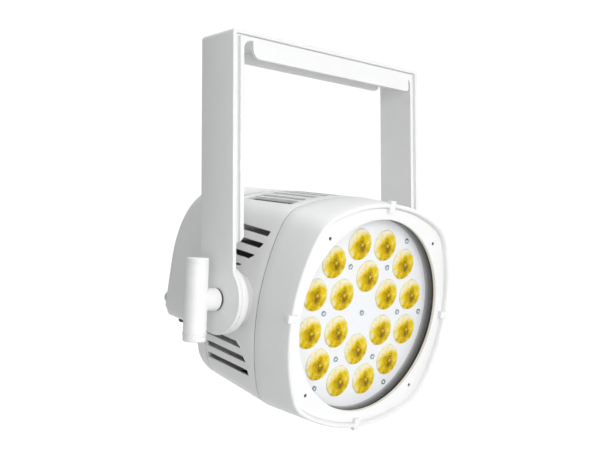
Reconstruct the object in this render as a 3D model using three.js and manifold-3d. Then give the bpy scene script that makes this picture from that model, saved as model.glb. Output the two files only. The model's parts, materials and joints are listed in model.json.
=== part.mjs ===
// LED par can: a round-cornered lamp head with eighteen lenses, hung in a tall yoke and held at
// its tilt by two T-bar lock handles.
// Millimetres, +Z up. The lamp faces -Y and its left side (seen from the front) is -X.
// The origin is the middle of the yoke's top face, where a clamp is bolted on.
import * as THREE from 'three';
import { mergeVertices } from 'three/addons/utils/BufferGeometryUtils.js';
import Module from 'manifold-3d';

const wasm = await Module();
wasm.setup();

// ---------------------------------------------------------------- driving dimensions
const FIT_GAP = 0.3; // between any two pieces that touch

// yoke
const YOKE_WIDTH = 274; // over the outer faces of both arms
const YOKE_HEIGHT = 260; // tilt axis to top face
const STRAP_WIDTH = 49;
const STRAP_THICKNESS = 4.5;
const STRAP_BEND_RADIUS = 5;
const ARM_END_RADIUS = 34; // round end of each arm, about the tilt axis
const ARM_END_FILLET = 15;
const CLAMP_HOLE_RADIUS = 6.5; // M12 clamp bolts
const CLAMP_HOLE_SPACING = 80;
const STIFFENER_INNER_HALF = 123.5; // inner faces of the stiffener's arms
const STIFFENER_UNDERSIDE = 10; // crossbar underside, below the top face
const STIFFENER_CORNER = 9;
const STIFFENER_FOOT = 50; // lower end, above the tilt axis
const STIFFENER_HALF_DEPTH = 21;
const BEAD_WIDTH = 4.5;
const TAB_THICKNESS = 3;

// tilt pivot and lock handles
const TILT_DEGREES = 13; // nose down
const STUD_RADIUS = 5;
const STUD_HOLE_RADIUS = 5.6;
const FRICTION_DISC_THICKNESS = 6.8;
const HUB_RADIUS = 26;
const HUB_FLARE = { radius: 29.5, near: 114, far: 118 };
const HANDLE_OFFSET = 161.5; // T-bar axis, from the lamp's middle plane
const HANDLE_LENGTH = 79;
const HANDLE_RADIUS = 11.1;
const HANDLE_LEAN_DEGREES = 3.1;

// lamp head, in its own frame: the lamp axis is -Y and the tilt axis passes through the origin.
// "Depth" is the distance in front of the tilt axis, so y = -depth.
const WALL = 3;
const SEAM_DEPTH = 33; // joint between the front shell and the vented housing
const FRONT_DEPTH = 78; // face of the front bezel
const RIM_DEPTH = 82.5; // front edge of the shell, which stands proud of the bezel
const HOUSING_REAR = 51.2; // y of the vented housing's rear edge
const FRAME_REAR = 71.6; // y of the rear frame's back
const BEZEL_HALF = 108.7;
const OPENING_RADIUS = 97.5;
const BEZEL_HOLE_OFFSET = 75.9;
const BEZEL_THICKNESS = 3.4;
const TAB_HALF_WIDTH = 3.8;
const TAB_REACH = [104.6, 116.8];
const TAB_FRONT = 82.1;
const GLASS_RADIUS = 103.8;
const LENS_PLATE_DEPTH = 63.4;
const LENS_RADIUS = 15.85;
const INNER_LENS_RING = { count: 6, radius: 37.5, firstAngle: 90 };
const OUTER_LENS_RING = { count: 12, radius: 72, firstAngle: 75 };

// rear cover, control panel and connectors
const COVER_HALF_WIDTH = 92;
const COVER_FRONT = 71.9;
const COVER_CREST = 57.6; // y where the cover's top would run level
const COVER_REAR = 148;
const COVER_UNDERSIDE = -51.6;
const COVER_TOP = 105;
const COVER_EDGE_RADIUS = 12;
const CABLE_OPENING = { halfWidth: 62, bottom: -30, top: 60 }; // from the housing into the cover
const PANEL = { halfWidth: 52, bottom: -35, top: 5, thickness: 2 };
const BUTTON_POSITIONS = [-27, -9, 9, 27];
const BUTTON_HEIGHT = -24;
const CONNECTOR_SPACING = 45;
const CONNECTOR_Y = 114;
const SOCKET_RADIUS = 9.2;
const SOCKET_DEPTH = 14;
const FOOT_RADIUS = 7;
const FOOT_HEIGHT = 9.5;
const FOOT_CENTRE = [76, -34.2];

// cooling
const FAN_SIZE = 92;
const FAN_FRONT = 12;
const FAN_THICKNESS = 25;

const radians = THREE.MathUtils.degToRad;

// ---------------------------------------------------------------- solids from three.js geometry

/** Turn a closed three.js geometry into a manifold solid with merged vertices. */
function solidOf(geometry) {
  const bare = geometry.clone();
  for (const name of Object.keys(bare.attributes)) {
    if (name !== 'position') bare.deleteAttribute(name);
  }
  const merged = mergeVertices(bare, 1e-4);
  const corners = [];
  const index = merged.index.array;
  for (let i = 0; i < index.length; i += 3) {
    const [a, b, c] = [index[i], index[i + 1], index[i + 2]];
    if (a !== b && b !== c && c !== a) corners.push(a, b, c);
  }
  return new wasm.Manifold(new wasm.Mesh({
    numProp: 3,
    vertProperties: new Float32Array(merged.attributes.position.array),
    triVerts: new Uint32Array(corners),
  }));
}

function geometryOf(solid) {
  const mesh = solid.getMesh();
  const geometry = new THREE.BufferGeometry();
  geometry.setAttribute('position', new THREE.BufferAttribute(mesh.vertProperties, 3));
  geometry.setIndex(new THREE.BufferAttribute(mesh.triVerts, 1));
  geometry.computeVertexNormals();
  return geometry;
}

const join = (solids) => solids.reduce((whole, piece) => whole.add(piece));
const cut = (solid, tools) => tools.reduce((rest, tool) => rest.subtract(tool), solid);

function box([x0, x1], [y0, y1], [z0, z1]) {
  const geometry = new THREE.BoxGeometry(x1 - x0, y1 - y0, z1 - z0);
  geometry.translate((x0 + x1) / 2, (y0 + y1) / 2, (z0 + z1) / 2);
  return solidOf(geometry);
}

/** Cylinder along 'x', 'y' or 'z', from one coordinate to another on that axis. */
function rod(axis, radius, [from, to], [u, v] = [0, 0], segments = 32) {
  const geometry = new THREE.CylinderGeometry(radius, radius, to - from, segments);
  geometry.translate(0, (from + to) / 2, 0);
  if (axis === 'x') geometry.rotateZ(-Math.PI / 2).translate(0, u, v);
  if (axis === 'y') geometry.translate(u, 0, v);
  if (axis === 'z') geometry.rotateX(Math.PI / 2).translate(u, v, 0);
  return solidOf(geometry);
}

/** Solid of revolution about the lamp axis; profile points are [radius, depth]. */
function turned(profile, segments = 40, [x, z] = [0, 0]) {
  const points = profile.map(([radius, depth]) => new THREE.Vector2(radius, depth));
  const geometry = new THREE.LatheGeometry(points, segments);
  geometry.rotateX(Math.PI).translate(x, 0, z);
  return solidOf(outwards(geometry));
}

/** Tube of revolution between two radii and two depths. */
function collar(inner, outer, [back, front], segments = 40) {
  return turned([[inner, back], [outer, back], [outer, front], [inner, front], [inner, back]],
    segments);
}

/** Extrude a shape drawn in x and z along Y, between two y values. */
function extrudeAlongY(shape, [from, to], curveSegments = 10) {
  const geometry = new THREE.ExtrudeGeometry(shape,
    { depth: to - from, bevelEnabled: false, curveSegments });
  geometry.rotateX(Math.PI / 2).translate(0, to, 0);
  return solidOf(geometry);
}

/** Extrude a shape drawn in y and z along X, between two x values. */
function extrudeAlongX(shape, [from, to], curveSegments = 10) {
  const geometry = new THREE.ExtrudeGeometry(shape,
    { depth: to - from, bevelEnabled: false, curveSegments });
  geometry.applyMatrix4(new THREE.Matrix4().set(0, 0, 1, from, 1, 0, 0, 0, 0, 1, 0, 0, 0, 0, 0, 1));
  return solidOf(geometry);
}

/** Flip the triangles of a closed geometry whose faces point inwards. */
function outwards(geometry) {
  const position = geometry.attributes.position;
  const index = geometry.index.array;
  const corner = [0, 1, 2].map(() => new THREE.Vector3());
  let volume = 0;
  for (let i = 0; i < index.length; i += 3) {
    corner.forEach((point, k) => point.fromBufferAttribute(position, index[i + k]));
    volume += corner[0].dot(corner[1].clone().cross(corner[2]));
  }
  if (volume < 0) {
    for (let i = 0; i < index.length; i += 3) {
      [index[i], index[i + 1]] = [index[i + 1], index[i]];
    }
  }
  return geometry;
}

// ---------------------------------------------------------------- the head's outline

const SIDE_STEPS = 6;
const CORNER_STEPS = 4;

/**
 * Square with bowed sides and round corners, as [x, z] points.
 * half: middle of the axis to the middle of a side; side and corner: the radii of the arcs.
 */
function bowedSquare(half, side, corner) {
  const bow = side - half;
  const reach = side - corner;
  const centre = (Math.sqrt(2 * reach * reach - bow * bow) - bow) / 2;
  const meet = Math.atan2(centre, centre + bow);
  const quarter = [];
  for (let i = 0; i < SIDE_STEPS; i += 1) {
    const angle = meet * (2 * i / SIDE_STEPS - 1);
    quarter.push([side * Math.cos(angle) - bow, side * Math.sin(angle)]);
  }
  for (let i = 0; i < CORNER_STEPS; i += 1) {
    const angle = meet + (Math.PI / 2 - 2 * meet) * i / CORNER_STEPS;
    quarter.push([centre + corner * Math.cos(angle), centre + corner * Math.sin(angle)]);
  }
  return [0, 1, 2, 3].flatMap((turn) => quarter.map(([x, z]) => {
    const [c, s] = [Math.round(Math.cos(turn * Math.PI / 2)), Math.round(Math.sin(turn * Math.PI / 2))];
    return [x * c - z * s, x * s + z * c];
  }));
}

/** Circle with its points at the same angles as the head's outline. */
function roundOutline(radius) {
  return bowedSquare(BEZEL_HALF, 165, 38).map(([x, z]) => {
    const length = Math.hypot(x, z);
    return [x * radius / length, z * radius / length];
  });
}

/**
 * Closed body through a list of outlines, each { outline, at }, along 'y' or 'x'.
 * A hollow body runs round from the last outline to the first; a capped one is closed at both.
 */
function lofted(sections, { capped = false, along = 'y' } = {}) {
  const count = sections[0].outline.length;
  const place = ([u, v], at) => (along === 'y' ? [u, at, v] : [at, u, v]);
  const positions = sections.flatMap(({ outline, at }) => outline.flatMap((point) => place(point, at)));
  const triangles = [];
  const spans = capped ? sections.length - 1 : sections.length;
  for (let s = 0; s < spans; s += 1) {
    const next = (s + 1) % sections.length;
    for (let i = 0; i < count; i += 1) {
      const j = (i + 1) % count;
      const [a, b] = [s * count + i, s * count + j];
      const [c, d] = [next * count + i, next * count + j];
      triangles.push(a, b, d, a, d, c);
    }
  }
  if (capped) {
    [0, sections.length - 1].forEach((s) => {
      const { outline, at } = sections[s];
      const mean = [0, 1].map((k) => outline.reduce((sum, point) => sum + point[k], 0) / count);
      positions.push(...place(mean, at));
      const middle = positions.length / 3 - 1;
      for (let i = 0; i < count; i += 1) {
        const [a, b] = [s * count + i, s * count + (i + 1) % count];
        triangles.push(...(s === 0 ? [middle, b, a] : [middle, a, b]));
      }
    });
  }
  const geometry = new THREE.BufferGeometry();
  geometry.setAttribute('position', new THREE.Float32BufferAttribute(positions, 3));
  geometry.setIndex(triangles);
  return solidOf(outwards(geometry));
}

/** Outline of the head at one depth; its height is the given share of its width. */
function section(depth, half, side, corner, height = 1) {
  return { at: -depth, outline: bowedSquare(half, side, corner).map(([x, z]) => [x, z * height]) };
}

const roundSection = (depth, radius) => ({ at: -depth, outline: roundOutline(radius) });

// ---------------------------------------------------------------- scene helpers

const par = new THREE.Group();
const yokeGroup = new THREE.Group();
const headGroup = new THREE.Group();
yokeGroup.position.z = -YOKE_HEIGHT;
headGroup.position.z = -YOKE_HEIGHT;
headGroup.rotation.x = radians(TILT_DEGREES);
par.add(yokeGroup, headGroup);

const FINISH = {
  whitePaint: { color: 0xf1f1ef, roughness: 0.45, metalness: 0 },
  whitePlastic: { color: 0xf6f6f4, roughness: 0.35, metalness: 0 },
  whitePlate: { color: 0xf4f5f8, roughness: 0.4, metalness: 0 },
  amberLens: { color: 0xf2c40e, roughness: 0.12, metalness: 0 },
  clearGlass: { color: 0xeef4f4, roughness: 0.05, metalness: 0, transparent: true, opacity: 0.25 },
  darkBaffle: { color: 0x6b6663, roughness: 0.4, metalness: 0 },
  blackRubber: { color: 0x151515, roughness: 0.85, metalness: 0 },
  blackPlastic: { color: 0x1b1b1c, roughness: 0.5, metalness: 0 },
  steel: { color: 0xb9bcbe, roughness: 0.3, metalness: 1 },
  aluminium: { color: 0xc3c5c6, roughness: 0.4, metalness: 1 },
  blackAnodised: { color: 0x222224, roughness: 0.6, metalness: 0.6 },
  circuitBoard: { color: 0x1d6b3c, roughness: 0.5, metalness: 0 },
};

/** Add one named piece to a group. */
function addPiece(group, name, solid, finish) {
  const mesh = new THREE.Mesh(geometryOf(solid), new THREE.MeshStandardMaterial(FINISH[finish]));
  mesh.name = name;
  group.add(mesh);
  return mesh;
}

const SIDES = [['left', -1], ['right', 1]];

// ---------------------------------------------------------------- yoke (z is up from the tilt axis)

/** The yoke seen from the side, in y and z: a straight strap that swells into a round end. */
function armOutline() {
  const half = STRAP_WIDTH / 2;
  const spread = half + ARM_END_FILLET;
  const reach = ARM_END_RADIUS + ARM_END_FILLET;
  const filletHeight = Math.sqrt(reach * reach - spread * spread);
  const meet = Math.atan2(filletHeight, spread);
  const shape = new THREE.Shape();
  shape.moveTo(half, YOKE_HEIGHT + 5);
  shape.lineTo(-half, YOKE_HEIGHT + 5);
  for (let i = 0; i < 5; i += 1) {
    const angle = -meet * i / 5;
    shape.lineTo(ARM_END_FILLET * Math.cos(angle) - spread, filletHeight + ARM_END_FILLET * Math.sin(angle));
  }
  for (let i = 0; i <= 24; i += 1) {
    const angle = Math.PI - meet + (Math.PI + 2 * meet) * i / 24;
    shape.lineTo(ARM_END_RADIUS * Math.cos(angle), ARM_END_RADIUS * Math.sin(angle));
  }
  for (let i = 4; i >= 0; i -= 1) {
    const angle = -meet * i / 5;
    shape.lineTo(spread - ARM_END_FILLET * Math.cos(angle), filletHeight + ARM_END_FILLET * Math.sin(angle));
  }
  return shape;
}

/** The yoke seen from the front, in x and z: an upside-down U with bent corners. */
function strapOutline() {
  const half = YOKE_WIDTH / 2;
  const foot = -ARM_END_RADIUS - 5;
  const bend = STRAP_BEND_RADIUS;
  const shape = new THREE.Shape();
  shape.moveTo(half, foot);
  shape.absarc(half - bend, YOKE_HEIGHT - bend, bend, 0, Math.PI / 2, false);
  shape.absarc(bend - half, YOKE_HEIGHT - bend, bend, Math.PI / 2, Math.PI, false);
  shape.lineTo(-half, foot);
  shape.lineTo(STRAP_THICKNESS - half, foot);
  shape.lineTo(STRAP_THICKNESS - half, YOKE_HEIGHT - STRAP_THICKNESS);
  shape.lineTo(half - STRAP_THICKNESS, YOKE_HEIGHT - STRAP_THICKNESS);
  shape.lineTo(half - STRAP_THICKNESS, foot);
  return shape;
}

function clampHoles() {
  return [-1, 1].map((side) => rod('z', CLAMP_HOLE_RADIUS, [YOKE_HEIGHT - 40, YOKE_HEIGHT + 10],
    [side * CLAMP_HOLE_SPACING / 2, 0], 24));
}

function yokeStrap() {
  const across = YOKE_WIDTH / 2 + 10;
  const whole = extrudeAlongY(strapOutline(), [-ARM_END_RADIUS - 5, ARM_END_RADIUS + 5], 5)
    .intersect(extrudeAlongX(armOutline(), [-across, across]));
  const studHole = rod('x', STUD_HOLE_RADIUS, [-across, across], [0, 0], 20);
  return cut(whole, [studHole, ...clampHoles()]);
}

/** Upside-down U drawn in x and z, with round inner corners and slanted lower ends. */
function stiffenerOutline(outerHalf, top) {
  const inner = STIFFENER_INNER_HALF;
  const underside = YOKE_HEIGHT - STIFFENER_UNDERSIDE;
  const innerFoot = STIFFENER_FOOT + (YOKE_WIDTH / 2 - STRAP_THICKNESS) - inner;
  const outerFoot = innerFoot - (outerHalf - inner);
  const corner = STIFFENER_CORNER;
  const shape = new THREE.Shape();
  shape.moveTo(outerHalf, outerFoot);
  shape.lineTo(outerHalf, top);
  shape.lineTo(-outerHalf, top);
  shape.lineTo(-outerHalf, outerFoot);
  shape.lineTo(-inner, innerFoot);
  shape.absarc(corner - inner, underside - corner, corner, Math.PI, Math.PI / 2, true);
  shape.absarc(inner - corner, underside - corner, corner, Math.PI / 2, 0, true);
  shape.lineTo(inner, innerFoot);
  return shape;
}

/** A tab that hangs from the crossbar, drawn in x and z, with its two lower corners rounded. */
function hangingTab([left, right], bottom, leftRadius, rightRadius) {
  const top = YOKE_HEIGHT - STIFFENER_UNDERSIDE + 3;
  const shape = new THREE.Shape();
  shape.moveTo(left, top);
  shape.absarc(left + leftRadius, bottom + leftRadius, leftRadius, Math.PI, 1.5 * Math.PI, false);
  shape.absarc(right - rightRadius, bottom + rightRadius, rightRadius, 1.5 * Math.PI, 2 * Math.PI, false);
  shape.lineTo(right, top);
  return shape;
}

function yokeStiffener() {
  const outerHalf = YOKE_WIDTH / 2 - STRAP_THICKNESS - FIT_GAP;
  const top = YOKE_HEIGHT - STRAP_THICKNESS - FIT_GAP;
  const front = -STRAP_WIDTH / 2;
  const beadTop = YOKE_HEIGHT - STIFFENER_UNDERSIDE + 3.2;
  const whole = join([
    extrudeAlongY(stiffenerOutline(outerHalf, top), [-STIFFENER_HALF_DEPTH, STIFFENER_HALF_DEPTH], 5),
    extrudeAlongY(stiffenerOutline(STIFFENER_INNER_HALF + BEAD_WIDTH, beadTop),
      [front, 1 - STIFFENER_HALF_DEPTH], 5),
    extrudeAlongY(hangingTab([-112, 120.5], 233.5, 10, 4), [front, front + TAB_THICKNESS + 0.5], 5),
    extrudeAlongY(hangingTab([-117.5, 117.5], 239.5, 7, 7),
      [STIFFENER_HALF_DEPTH - TAB_THICKNESS, STIFFENER_HALF_DEPTH], 5),
  ]);
  return cut(whole, clampHoles());
}

addPiece(yokeGroup, 'yoke_strap', yokeStrap(), 'whitePaint');
addPiece(yokeGroup, 'yoke_stiffener', yokeStiffener(), 'whitePaint');

/** A ring on the tilt axis, on one side of the lamp, between two distances from its middle. */
function pivotRing(side, inner, outer, [near, far], segments = 32) {
  const span = side < 0 ? [-far, -near] : [near, far];
  const bore = [span[0] - 1, span[1] + 1];
  return rod('x', outer, span, [0, 0], segments).subtract(rod('x', inner, bore, [0, 0], 20));
}

const armInside = YOKE_WIDTH / 2 - STRAP_THICKNESS - FIT_GAP;
const discInside = armInside - FRICTION_DISC_THICKNESS;
const washerOutside = YOKE_WIDTH / 2 + FIT_GAP + 1;

for (const [name, side] of SIDES) {
  addPiece(yokeGroup, `friction_disc_${name}`,
    pivotRing(side, STUD_HOLE_RADIUS, ARM_END_RADIUS - 0.2, [discInside, armInside], 40), 'whitePlastic');
}

// ---------------------------------------------------------------- lock handles

/** T-bar and its stem in one moulding, with a blind bore for the stud. */
function lockHandle(side) {
  const end = HANDLE_LENGTH / 2;
  const rim = HANDLE_RADIUS;
  const bar = new THREE.LatheGeometry([
    [0, -end], [rim - 1.2, -end], [rim, 1.2 - end], [rim, end - 1.2], [rim - 1.2, end], [0, end],
  ].map(([r, h]) => new THREE.Vector2(r, h)), 32);
  bar.rotateX(Math.PI / 2);
  const stemEnd = washerOutside + FIT_GAP - HANDLE_OFFSET;
  const stem = rod('x', HANDLE_RADIUS - 0.2, side < 0 ? [0, -stemEnd] : [stemEnd, 0]);
  const boreDepth = stemEnd + 11;
  const bore = rod('x', STUD_RADIUS + FIT_GAP, side < 0 ? [-boreDepth, 30] : [-30, boreDepth], [0, 0], 20);
  return solidOf(outwards(bar)).add(stem).subtract(bore);
}

for (const [name, side] of SIDES) {
  const handle = addPiece(yokeGroup, `lock_handle_${name}`, lockHandle(side), 'whitePlastic');
  handle.position.x = side * HANDLE_OFFSET;
  handle.rotation.x = radians(HANDLE_LEAN_DEGREES);
  const studSpan = [106, washerOutside + FIT_GAP + 10.5];
  addPiece(yokeGroup, `lock_stud_${name}`,
    rod('x', STUD_RADIUS, side < 0 ? [-studSpan[1], -studSpan[0]] : studSpan, [0, 0], 20), 'steel');
  addPiece(yokeGroup, `handle_washer_${name}`,
    pivotRing(side, STUD_HOLE_RADIUS, HANDLE_RADIUS + 0.3, [washerOutside - 1, washerOutside]),
    'blackRubber');
}

// ---------------------------------------------------------------- head: shells and front

/** Cone on the tilt axis, on one side of the lamp, from one radius to another. */
function pivotCone(side, [nearRadius, farRadius], [near, far]) {
  const geometry = new THREE.CylinderGeometry(farRadius, nearRadius, far - near, 32);
  geometry.translate(0, (near + far) / 2, 0).rotateZ(-side * Math.PI / 2);
  return solidOf(geometry);
}

/** Hub on each side, flared where it leaves the housing wall; it carries the lock stud. */
function pivotHub(side) {
  const bore = rod('x', STUD_RADIUS + FIT_GAP, [-140, 140], [0, 0], 20);
  return join([
    pivotCone(side, [HUB_RADIUS, HUB_RADIUS], [103, discInside - FIT_GAP]),
    pivotCone(side, [HUB_RADIUS + 4.5, HUB_RADIUS + 4.5], [102.5, 105.6]),
    pivotCone(side, [HUB_FLARE.radius, HUB_RADIUS], [HUB_FLARE.near, HUB_FLARE.far]),
  ]).subtract(bore);
}

/** Rounded front ring, with a rebate for the bezel and a lip that the glass rests on. */
function frontShell() {
  const body = lofted([
    section(SEAM_DEPTH + FIT_GAP / 2, 113.5, 225, 35),
    section(58, 113.9, 200, 37),
    section(RIM_DEPTH - 1.8, 113.7, 180, 38),
    section(RIM_DEPTH - 0.5, 113.1, 179, 37.5),
    section(RIM_DEPTH, 112, 178, 37),
    section(RIM_DEPTH, 109.8, 172, 38.6),
    section(RIM_DEPTH - 0.7, BEZEL_HALF + 0.5, 166, 39),
    section(FRONT_DEPTH - BEZEL_THICKNESS - FIT_GAP, BEZEL_HALF + 0.5, 166, 39),
    roundSection(FRONT_DEPTH - BEZEL_THICKNESS - FIT_GAP, GLASS_RADIUS + 1.2),
    roundSection(69.8, GLASS_RADIUS + 1.2),
    roundSection(69.8, 101.6),
    roundSection(67, 101.6),
    section(64, 111.3, 200, 36),
    section(SEAM_DEPTH + FIT_GAP / 2, 110.5, 225, 32),
  ]);
  const slots = tabBoxes(FIT_GAP, 10);
  const screwHoles = cornerRods(1.3, [-80, -71]);
  return cut(body, [...slots, ...screwHoles]);
}

/** The bezel's four locating tabs, one in the middle of each side, grown by a clearance. */
function tabBoxes(clearance, overshoot = 0) {
  const halfWidth = TAB_HALF_WIDTH + clearance;
  const reach = [TAB_REACH[0], TAB_REACH[1] + overshoot];
  const span = [-TAB_FRONT - overshoot, 1 - FRONT_DEPTH + clearance];
  const across = [-halfWidth, halfWidth];
  const back = reach.map((value) => -value).reverse();
  return [
    box(reach, span, across),
    box(back, span, across),
    box(across, span, reach),
    box(across, span, back),
  ];
}

function cornerRods(radius, span) {
  return [[-1, -1], [-1, 1], [1, -1], [1, 1]].map(([x, z]) => rod('y', radius, span,
    [x * BEZEL_HOLE_OFFSET, z * BEZEL_HOLE_OFFSET], 12));
}

/** Flat front plate with the round opening, four screw holes and four tabs. */
function frontBezel() {
  const rim = bowedSquare(BEZEL_HALF, 165, 38);
  const edge = bowedSquare(BEZEL_HALF - 0.6, 165, 38);
  const back = -FRONT_DEPTH + BEZEL_THICKNESS;
  const plate = lofted([
    { outline: rim, at: back },
    { outline: rim, at: -FRONT_DEPTH + 0.6 },
    { outline: edge, at: -FRONT_DEPTH },
  ], { capped: true });
  const opening = rod('y', OPENING_RADIUS, [-FRONT_DEPTH - 5, back + 5], [0, 0], 72);
  return cut(join([plate, ...tabBoxes(0)]), [opening, ...cornerRods(1.5, [-FRONT_DEPTH - 5, back + 5])]);
}

const gasketFront = FRONT_DEPTH - BEZEL_THICKNESS - FIT_GAP;

addPiece(headGroup, 'front_shell', frontShell(), 'whitePaint');
addPiece(headGroup, 'front_bezel', frontBezel(), 'whitePaint');
addPiece(headGroup, 'bezel_gasket',
  collar(OPENING_RADIUS - 0.3, GLASS_RADIUS, [gasketFront - 0.8, gasketFront], 48), 'blackRubber');
addPiece(headGroup, 'front_glass',
  rod('y', GLASS_RADIUS, [-gasketFront + 1.1, -70.1], [0, 0], 48), 'clearGlass');
addPiece(headGroup, 'baffle_ring', collar(OPENING_RADIUS, 100.2, [59.5, 69.8], 48), 'darkBaffle');

/** Thin-walled housing with rows of cooling slots on both sides, on top and underneath. */
function ventedHousing() {
  const front = SEAM_DEPTH - FIT_GAP / 2;
  const body = lofted([
    section(front, 113.3, 225, 35),
    section(-HOUSING_REAR, 109.2, 225, 35, 0.974),
  ], { capped: true });
  const hollow = lofted([
    section(front + 1, 113.3 - WALL, 225, 32),
    section(-HOUSING_REAR - 1, 109.2 - WALL, 225, 32, 0.974),
  ], { capped: true });
  const hubHole = rod('x', HUB_RADIUS + FIT_GAP, [-130, 130], [0, 0], 32);
  return cut(body, [hollow, hubHole, ...sideSlots(), ...topSlots()]);
}

const SLOT_PITCH = 12.5;
const SLOT_HALF_HEIGHT = 2.8;
const SLOT_REAR = 48.2;
const TOP_SLOT_PITCH = 14.6;
const TOP_SLOT_HALF_WIDTH = 3.4;
const TOP_END_SLOTS = [65.2, 76.4]; // the wider slots at both ends of the row
const TOP_SLOT_FRONT = -18;

/** Where a side slot starts: the slot field keeps clear of the pivot on a round front edge. */
function slotFront(z) {
  const drop = 80 - Math.abs(z);
  return 29 - Math.sqrt(52 * 52 - drop * drop);
}

function sideSlots() {
  const slots = [];
  for (let row = 0; row < 4; row += 1) {
    for (const up of [-1, 1]) {
      const z = up * (2.5 + row) * SLOT_PITCH;
      const [low, high] = [z - SLOT_HALF_HEIGHT, z + SLOT_HALF_HEIGHT];
      const shape = new THREE.Shape();
      shape.moveTo(SLOT_REAR, low);
      shape.lineTo(SLOT_REAR, high);
      shape.lineTo(slotFront(high), high);
      shape.lineTo(slotFront(low), low);
      slots.push(extrudeAlongX(shape, [80, 130]), extrudeAlongX(shape, [-130, -80]));
    }
  }
  return slots;
}

/** Slots on top and underneath: nine of one width and a wider one at each end. */
function topSlots() {
  const even = [-4, -3, -2, -1, 0, 1, 2, 3, 4].map((column) => (
    [-TOP_SLOT_HALF_WIDTH, TOP_SLOT_HALF_WIDTH].map((edge) => column * TOP_SLOT_PITCH + edge)));
  const ends = [TOP_END_SLOTS, TOP_END_SLOTS.map((x) => -x).reverse()];
  return [...even, ...ends].flatMap((across) => (
    [[70, 130], [-130, -70]].map((span) => box(across, [TOP_SLOT_FRONT, SLOT_REAR], span))));
}

/** Block that cuts the way for the cables between the housing and the rear cover. */
function cableOpening(span) {
  const { halfWidth, bottom, top } = CABLE_OPENING;
  return box([-halfWidth, halfWidth], span, [bottom, top]);
}

/** Dish with a rounded rear edge that closes the housing and carries the rear cover. */
function rearFrame() {
  const body = lofted([
    section(-FRAME_REAR, 103.2, 225, 35, 0.952),
    section(-FRAME_REAR + 1.6, 105.9, 225, 35, 0.956),
    section(-FRAME_REAR + 5.1, 107.6, 225, 35, 0.962),
    section(-FRAME_REAR + 11.6, 108.6, 225, 35, 0.97),
    section(-HOUSING_REAR - FIT_GAP, 109.1, 225, 35, 0.974),
  ], { capped: true });
  const hollow = lofted([
    section(-FRAME_REAR + WALL, 102.7, 225, 32, 0.952),
    section(-HOUSING_REAR + 1, 109.1 - WALL, 225, 32, 0.974),
  ], { capped: true });
  return cut(body, [hollow, cableOpening([FRAME_REAR - 8, FRAME_REAR + 5])]);
}

addPiece(headGroup, 'vented_housing', ventedHousing(), 'whitePaint');
addPiece(headGroup, 'rear_frame', rearFrame(), 'whitePaint');
for (const [name, side] of SIDES) {
  addPiece(headGroup, `pivot_hub_${name}`, pivotHub(side), 'whitePaint');
}

// ---------------------------------------------------------------- head: lenses and light engine

/** Lens centres on the two rings, as [x, z]. */
function lensCentres() {
  return [OUTER_LENS_RING, INNER_LENS_RING].flatMap(({ count, radius, firstAngle }) => (
    Array.from({ length: count }, (_, i) => {
      const angle = radians(firstAngle - i * 360 / count);
      return [radius * Math.cos(angle), radius * Math.sin(angle)];
    })
  ));
}

function lensPlate() {
  const shape = new THREE.Shape();
  shape.absarc(0, 0, OPENING_RADIUS - FIT_GAP, 0, 2 * Math.PI, false);
  for (const [x, z] of lensCentres()) {
    const hole = new THREE.Path();
    hole.absarc(x, z, LENS_RADIUS + 0.6, 0, 2 * Math.PI, true);
    shape.holes.push(hole);
  }
  return extrudeAlongY(shape, [-LENS_PLATE_DEPTH, 2.4 - LENS_PLATE_DEPTH], 8);
}

/** Collimator lens: a cone that widens from the LED to a rim, under a shallow dome. */
function lens([x, z]) {
  return turned([
    [0, 51.4], [8.4, 51.4], [LENS_RADIUS, 61.6], [LENS_RADIUS, 64.2], [9, 66.3], [0, 66.8],
  ], 16, [x, z]);
}

/** Round circuit board with one square LED package under each lens. */
function ledBoard() {
  const packages = lensCentres().map(([x, z]) => box([x - 2.6, x + 2.6], [-51, -49], [z - 2.6, z + 2.6]));
  return join([rod('y', 91, [-50, -48.4], [0, 0], 40), ...packages]);
}

/** Round base with parallel upright fins behind it. */
function heatSink() {
  const base = rod('y', 92, [-48.1, -41], [0, 0], 40);
  const fins = [];
  for (let i = -6; i <= 6; i += 1) {
    const x = i * 13;
    const reach = Math.sqrt(88 * 88 - x * x);
    fins.push(box([x - 1.2, x + 1.2], [-42, 6], [-reach, reach]));
  }
  return join([base, ...fins]);
}

addPiece(headGroup, 'lens_plate', lensPlate(), 'whitePlate');
lensCentres().forEach((centre, i) => {
  addPiece(headGroup, `lens_${String(i + 1).padStart(2, '0')}`, lens(centre), 'amberLens');
});
addPiece(headGroup, 'led_board', ledBoard(), 'circuitBoard');
addPiece(headGroup, 'heat_sink', heatSink(), 'blackAnodised');

// ---------------------------------------------------------------- head: cooling fan

/** Square fan frame with a round duct and a motor mount on three spokes. */
function fanFrame() {
  const half = FAN_SIZE / 2;
  const rear = FAN_FRONT + FAN_THICKNESS;
  const frame = cut(box([-half, half], [FAN_FRONT, rear], [-half, half]),
    [rod('y', 43, [FAN_FRONT - 1, rear + 1], [0, 0], 32)]);
  const spokes = [90, 210, 330].map((degrees) => {
    const geometry = new THREE.BoxGeometry(44, 3, 4);
    geometry.translate(22, rear - 1.5, 0).rotateY(radians(degrees));
    return solidOf(geometry);
  });
  return join([frame, rod('y', 17, [rear - 3, rear], [0, 0], 24), ...spokes]);
}

/** Hub with seven pitched blades. */
function fanRotor() {
  const middle = FAN_FRONT + 11;
  const blades = Array.from({ length: 7 }, (_, i) => {
    const geometry = new THREE.BoxGeometry(25, 2, 20);
    geometry.rotateX(radians(55)).translate(28, middle, 0).rotateY(i * 2 * Math.PI / 7);
    return solidOf(geometry);
  });
  return join([rod('y', 18, [FAN_FRONT + 2, FAN_FRONT + 21], [0, 0], 24), ...blades]);
}

addPiece(headGroup, 'fan_frame', fanFrame(), 'blackPlastic');
addPiece(headGroup, 'fan_rotor', fanRotor(), 'blackPlastic');

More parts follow.
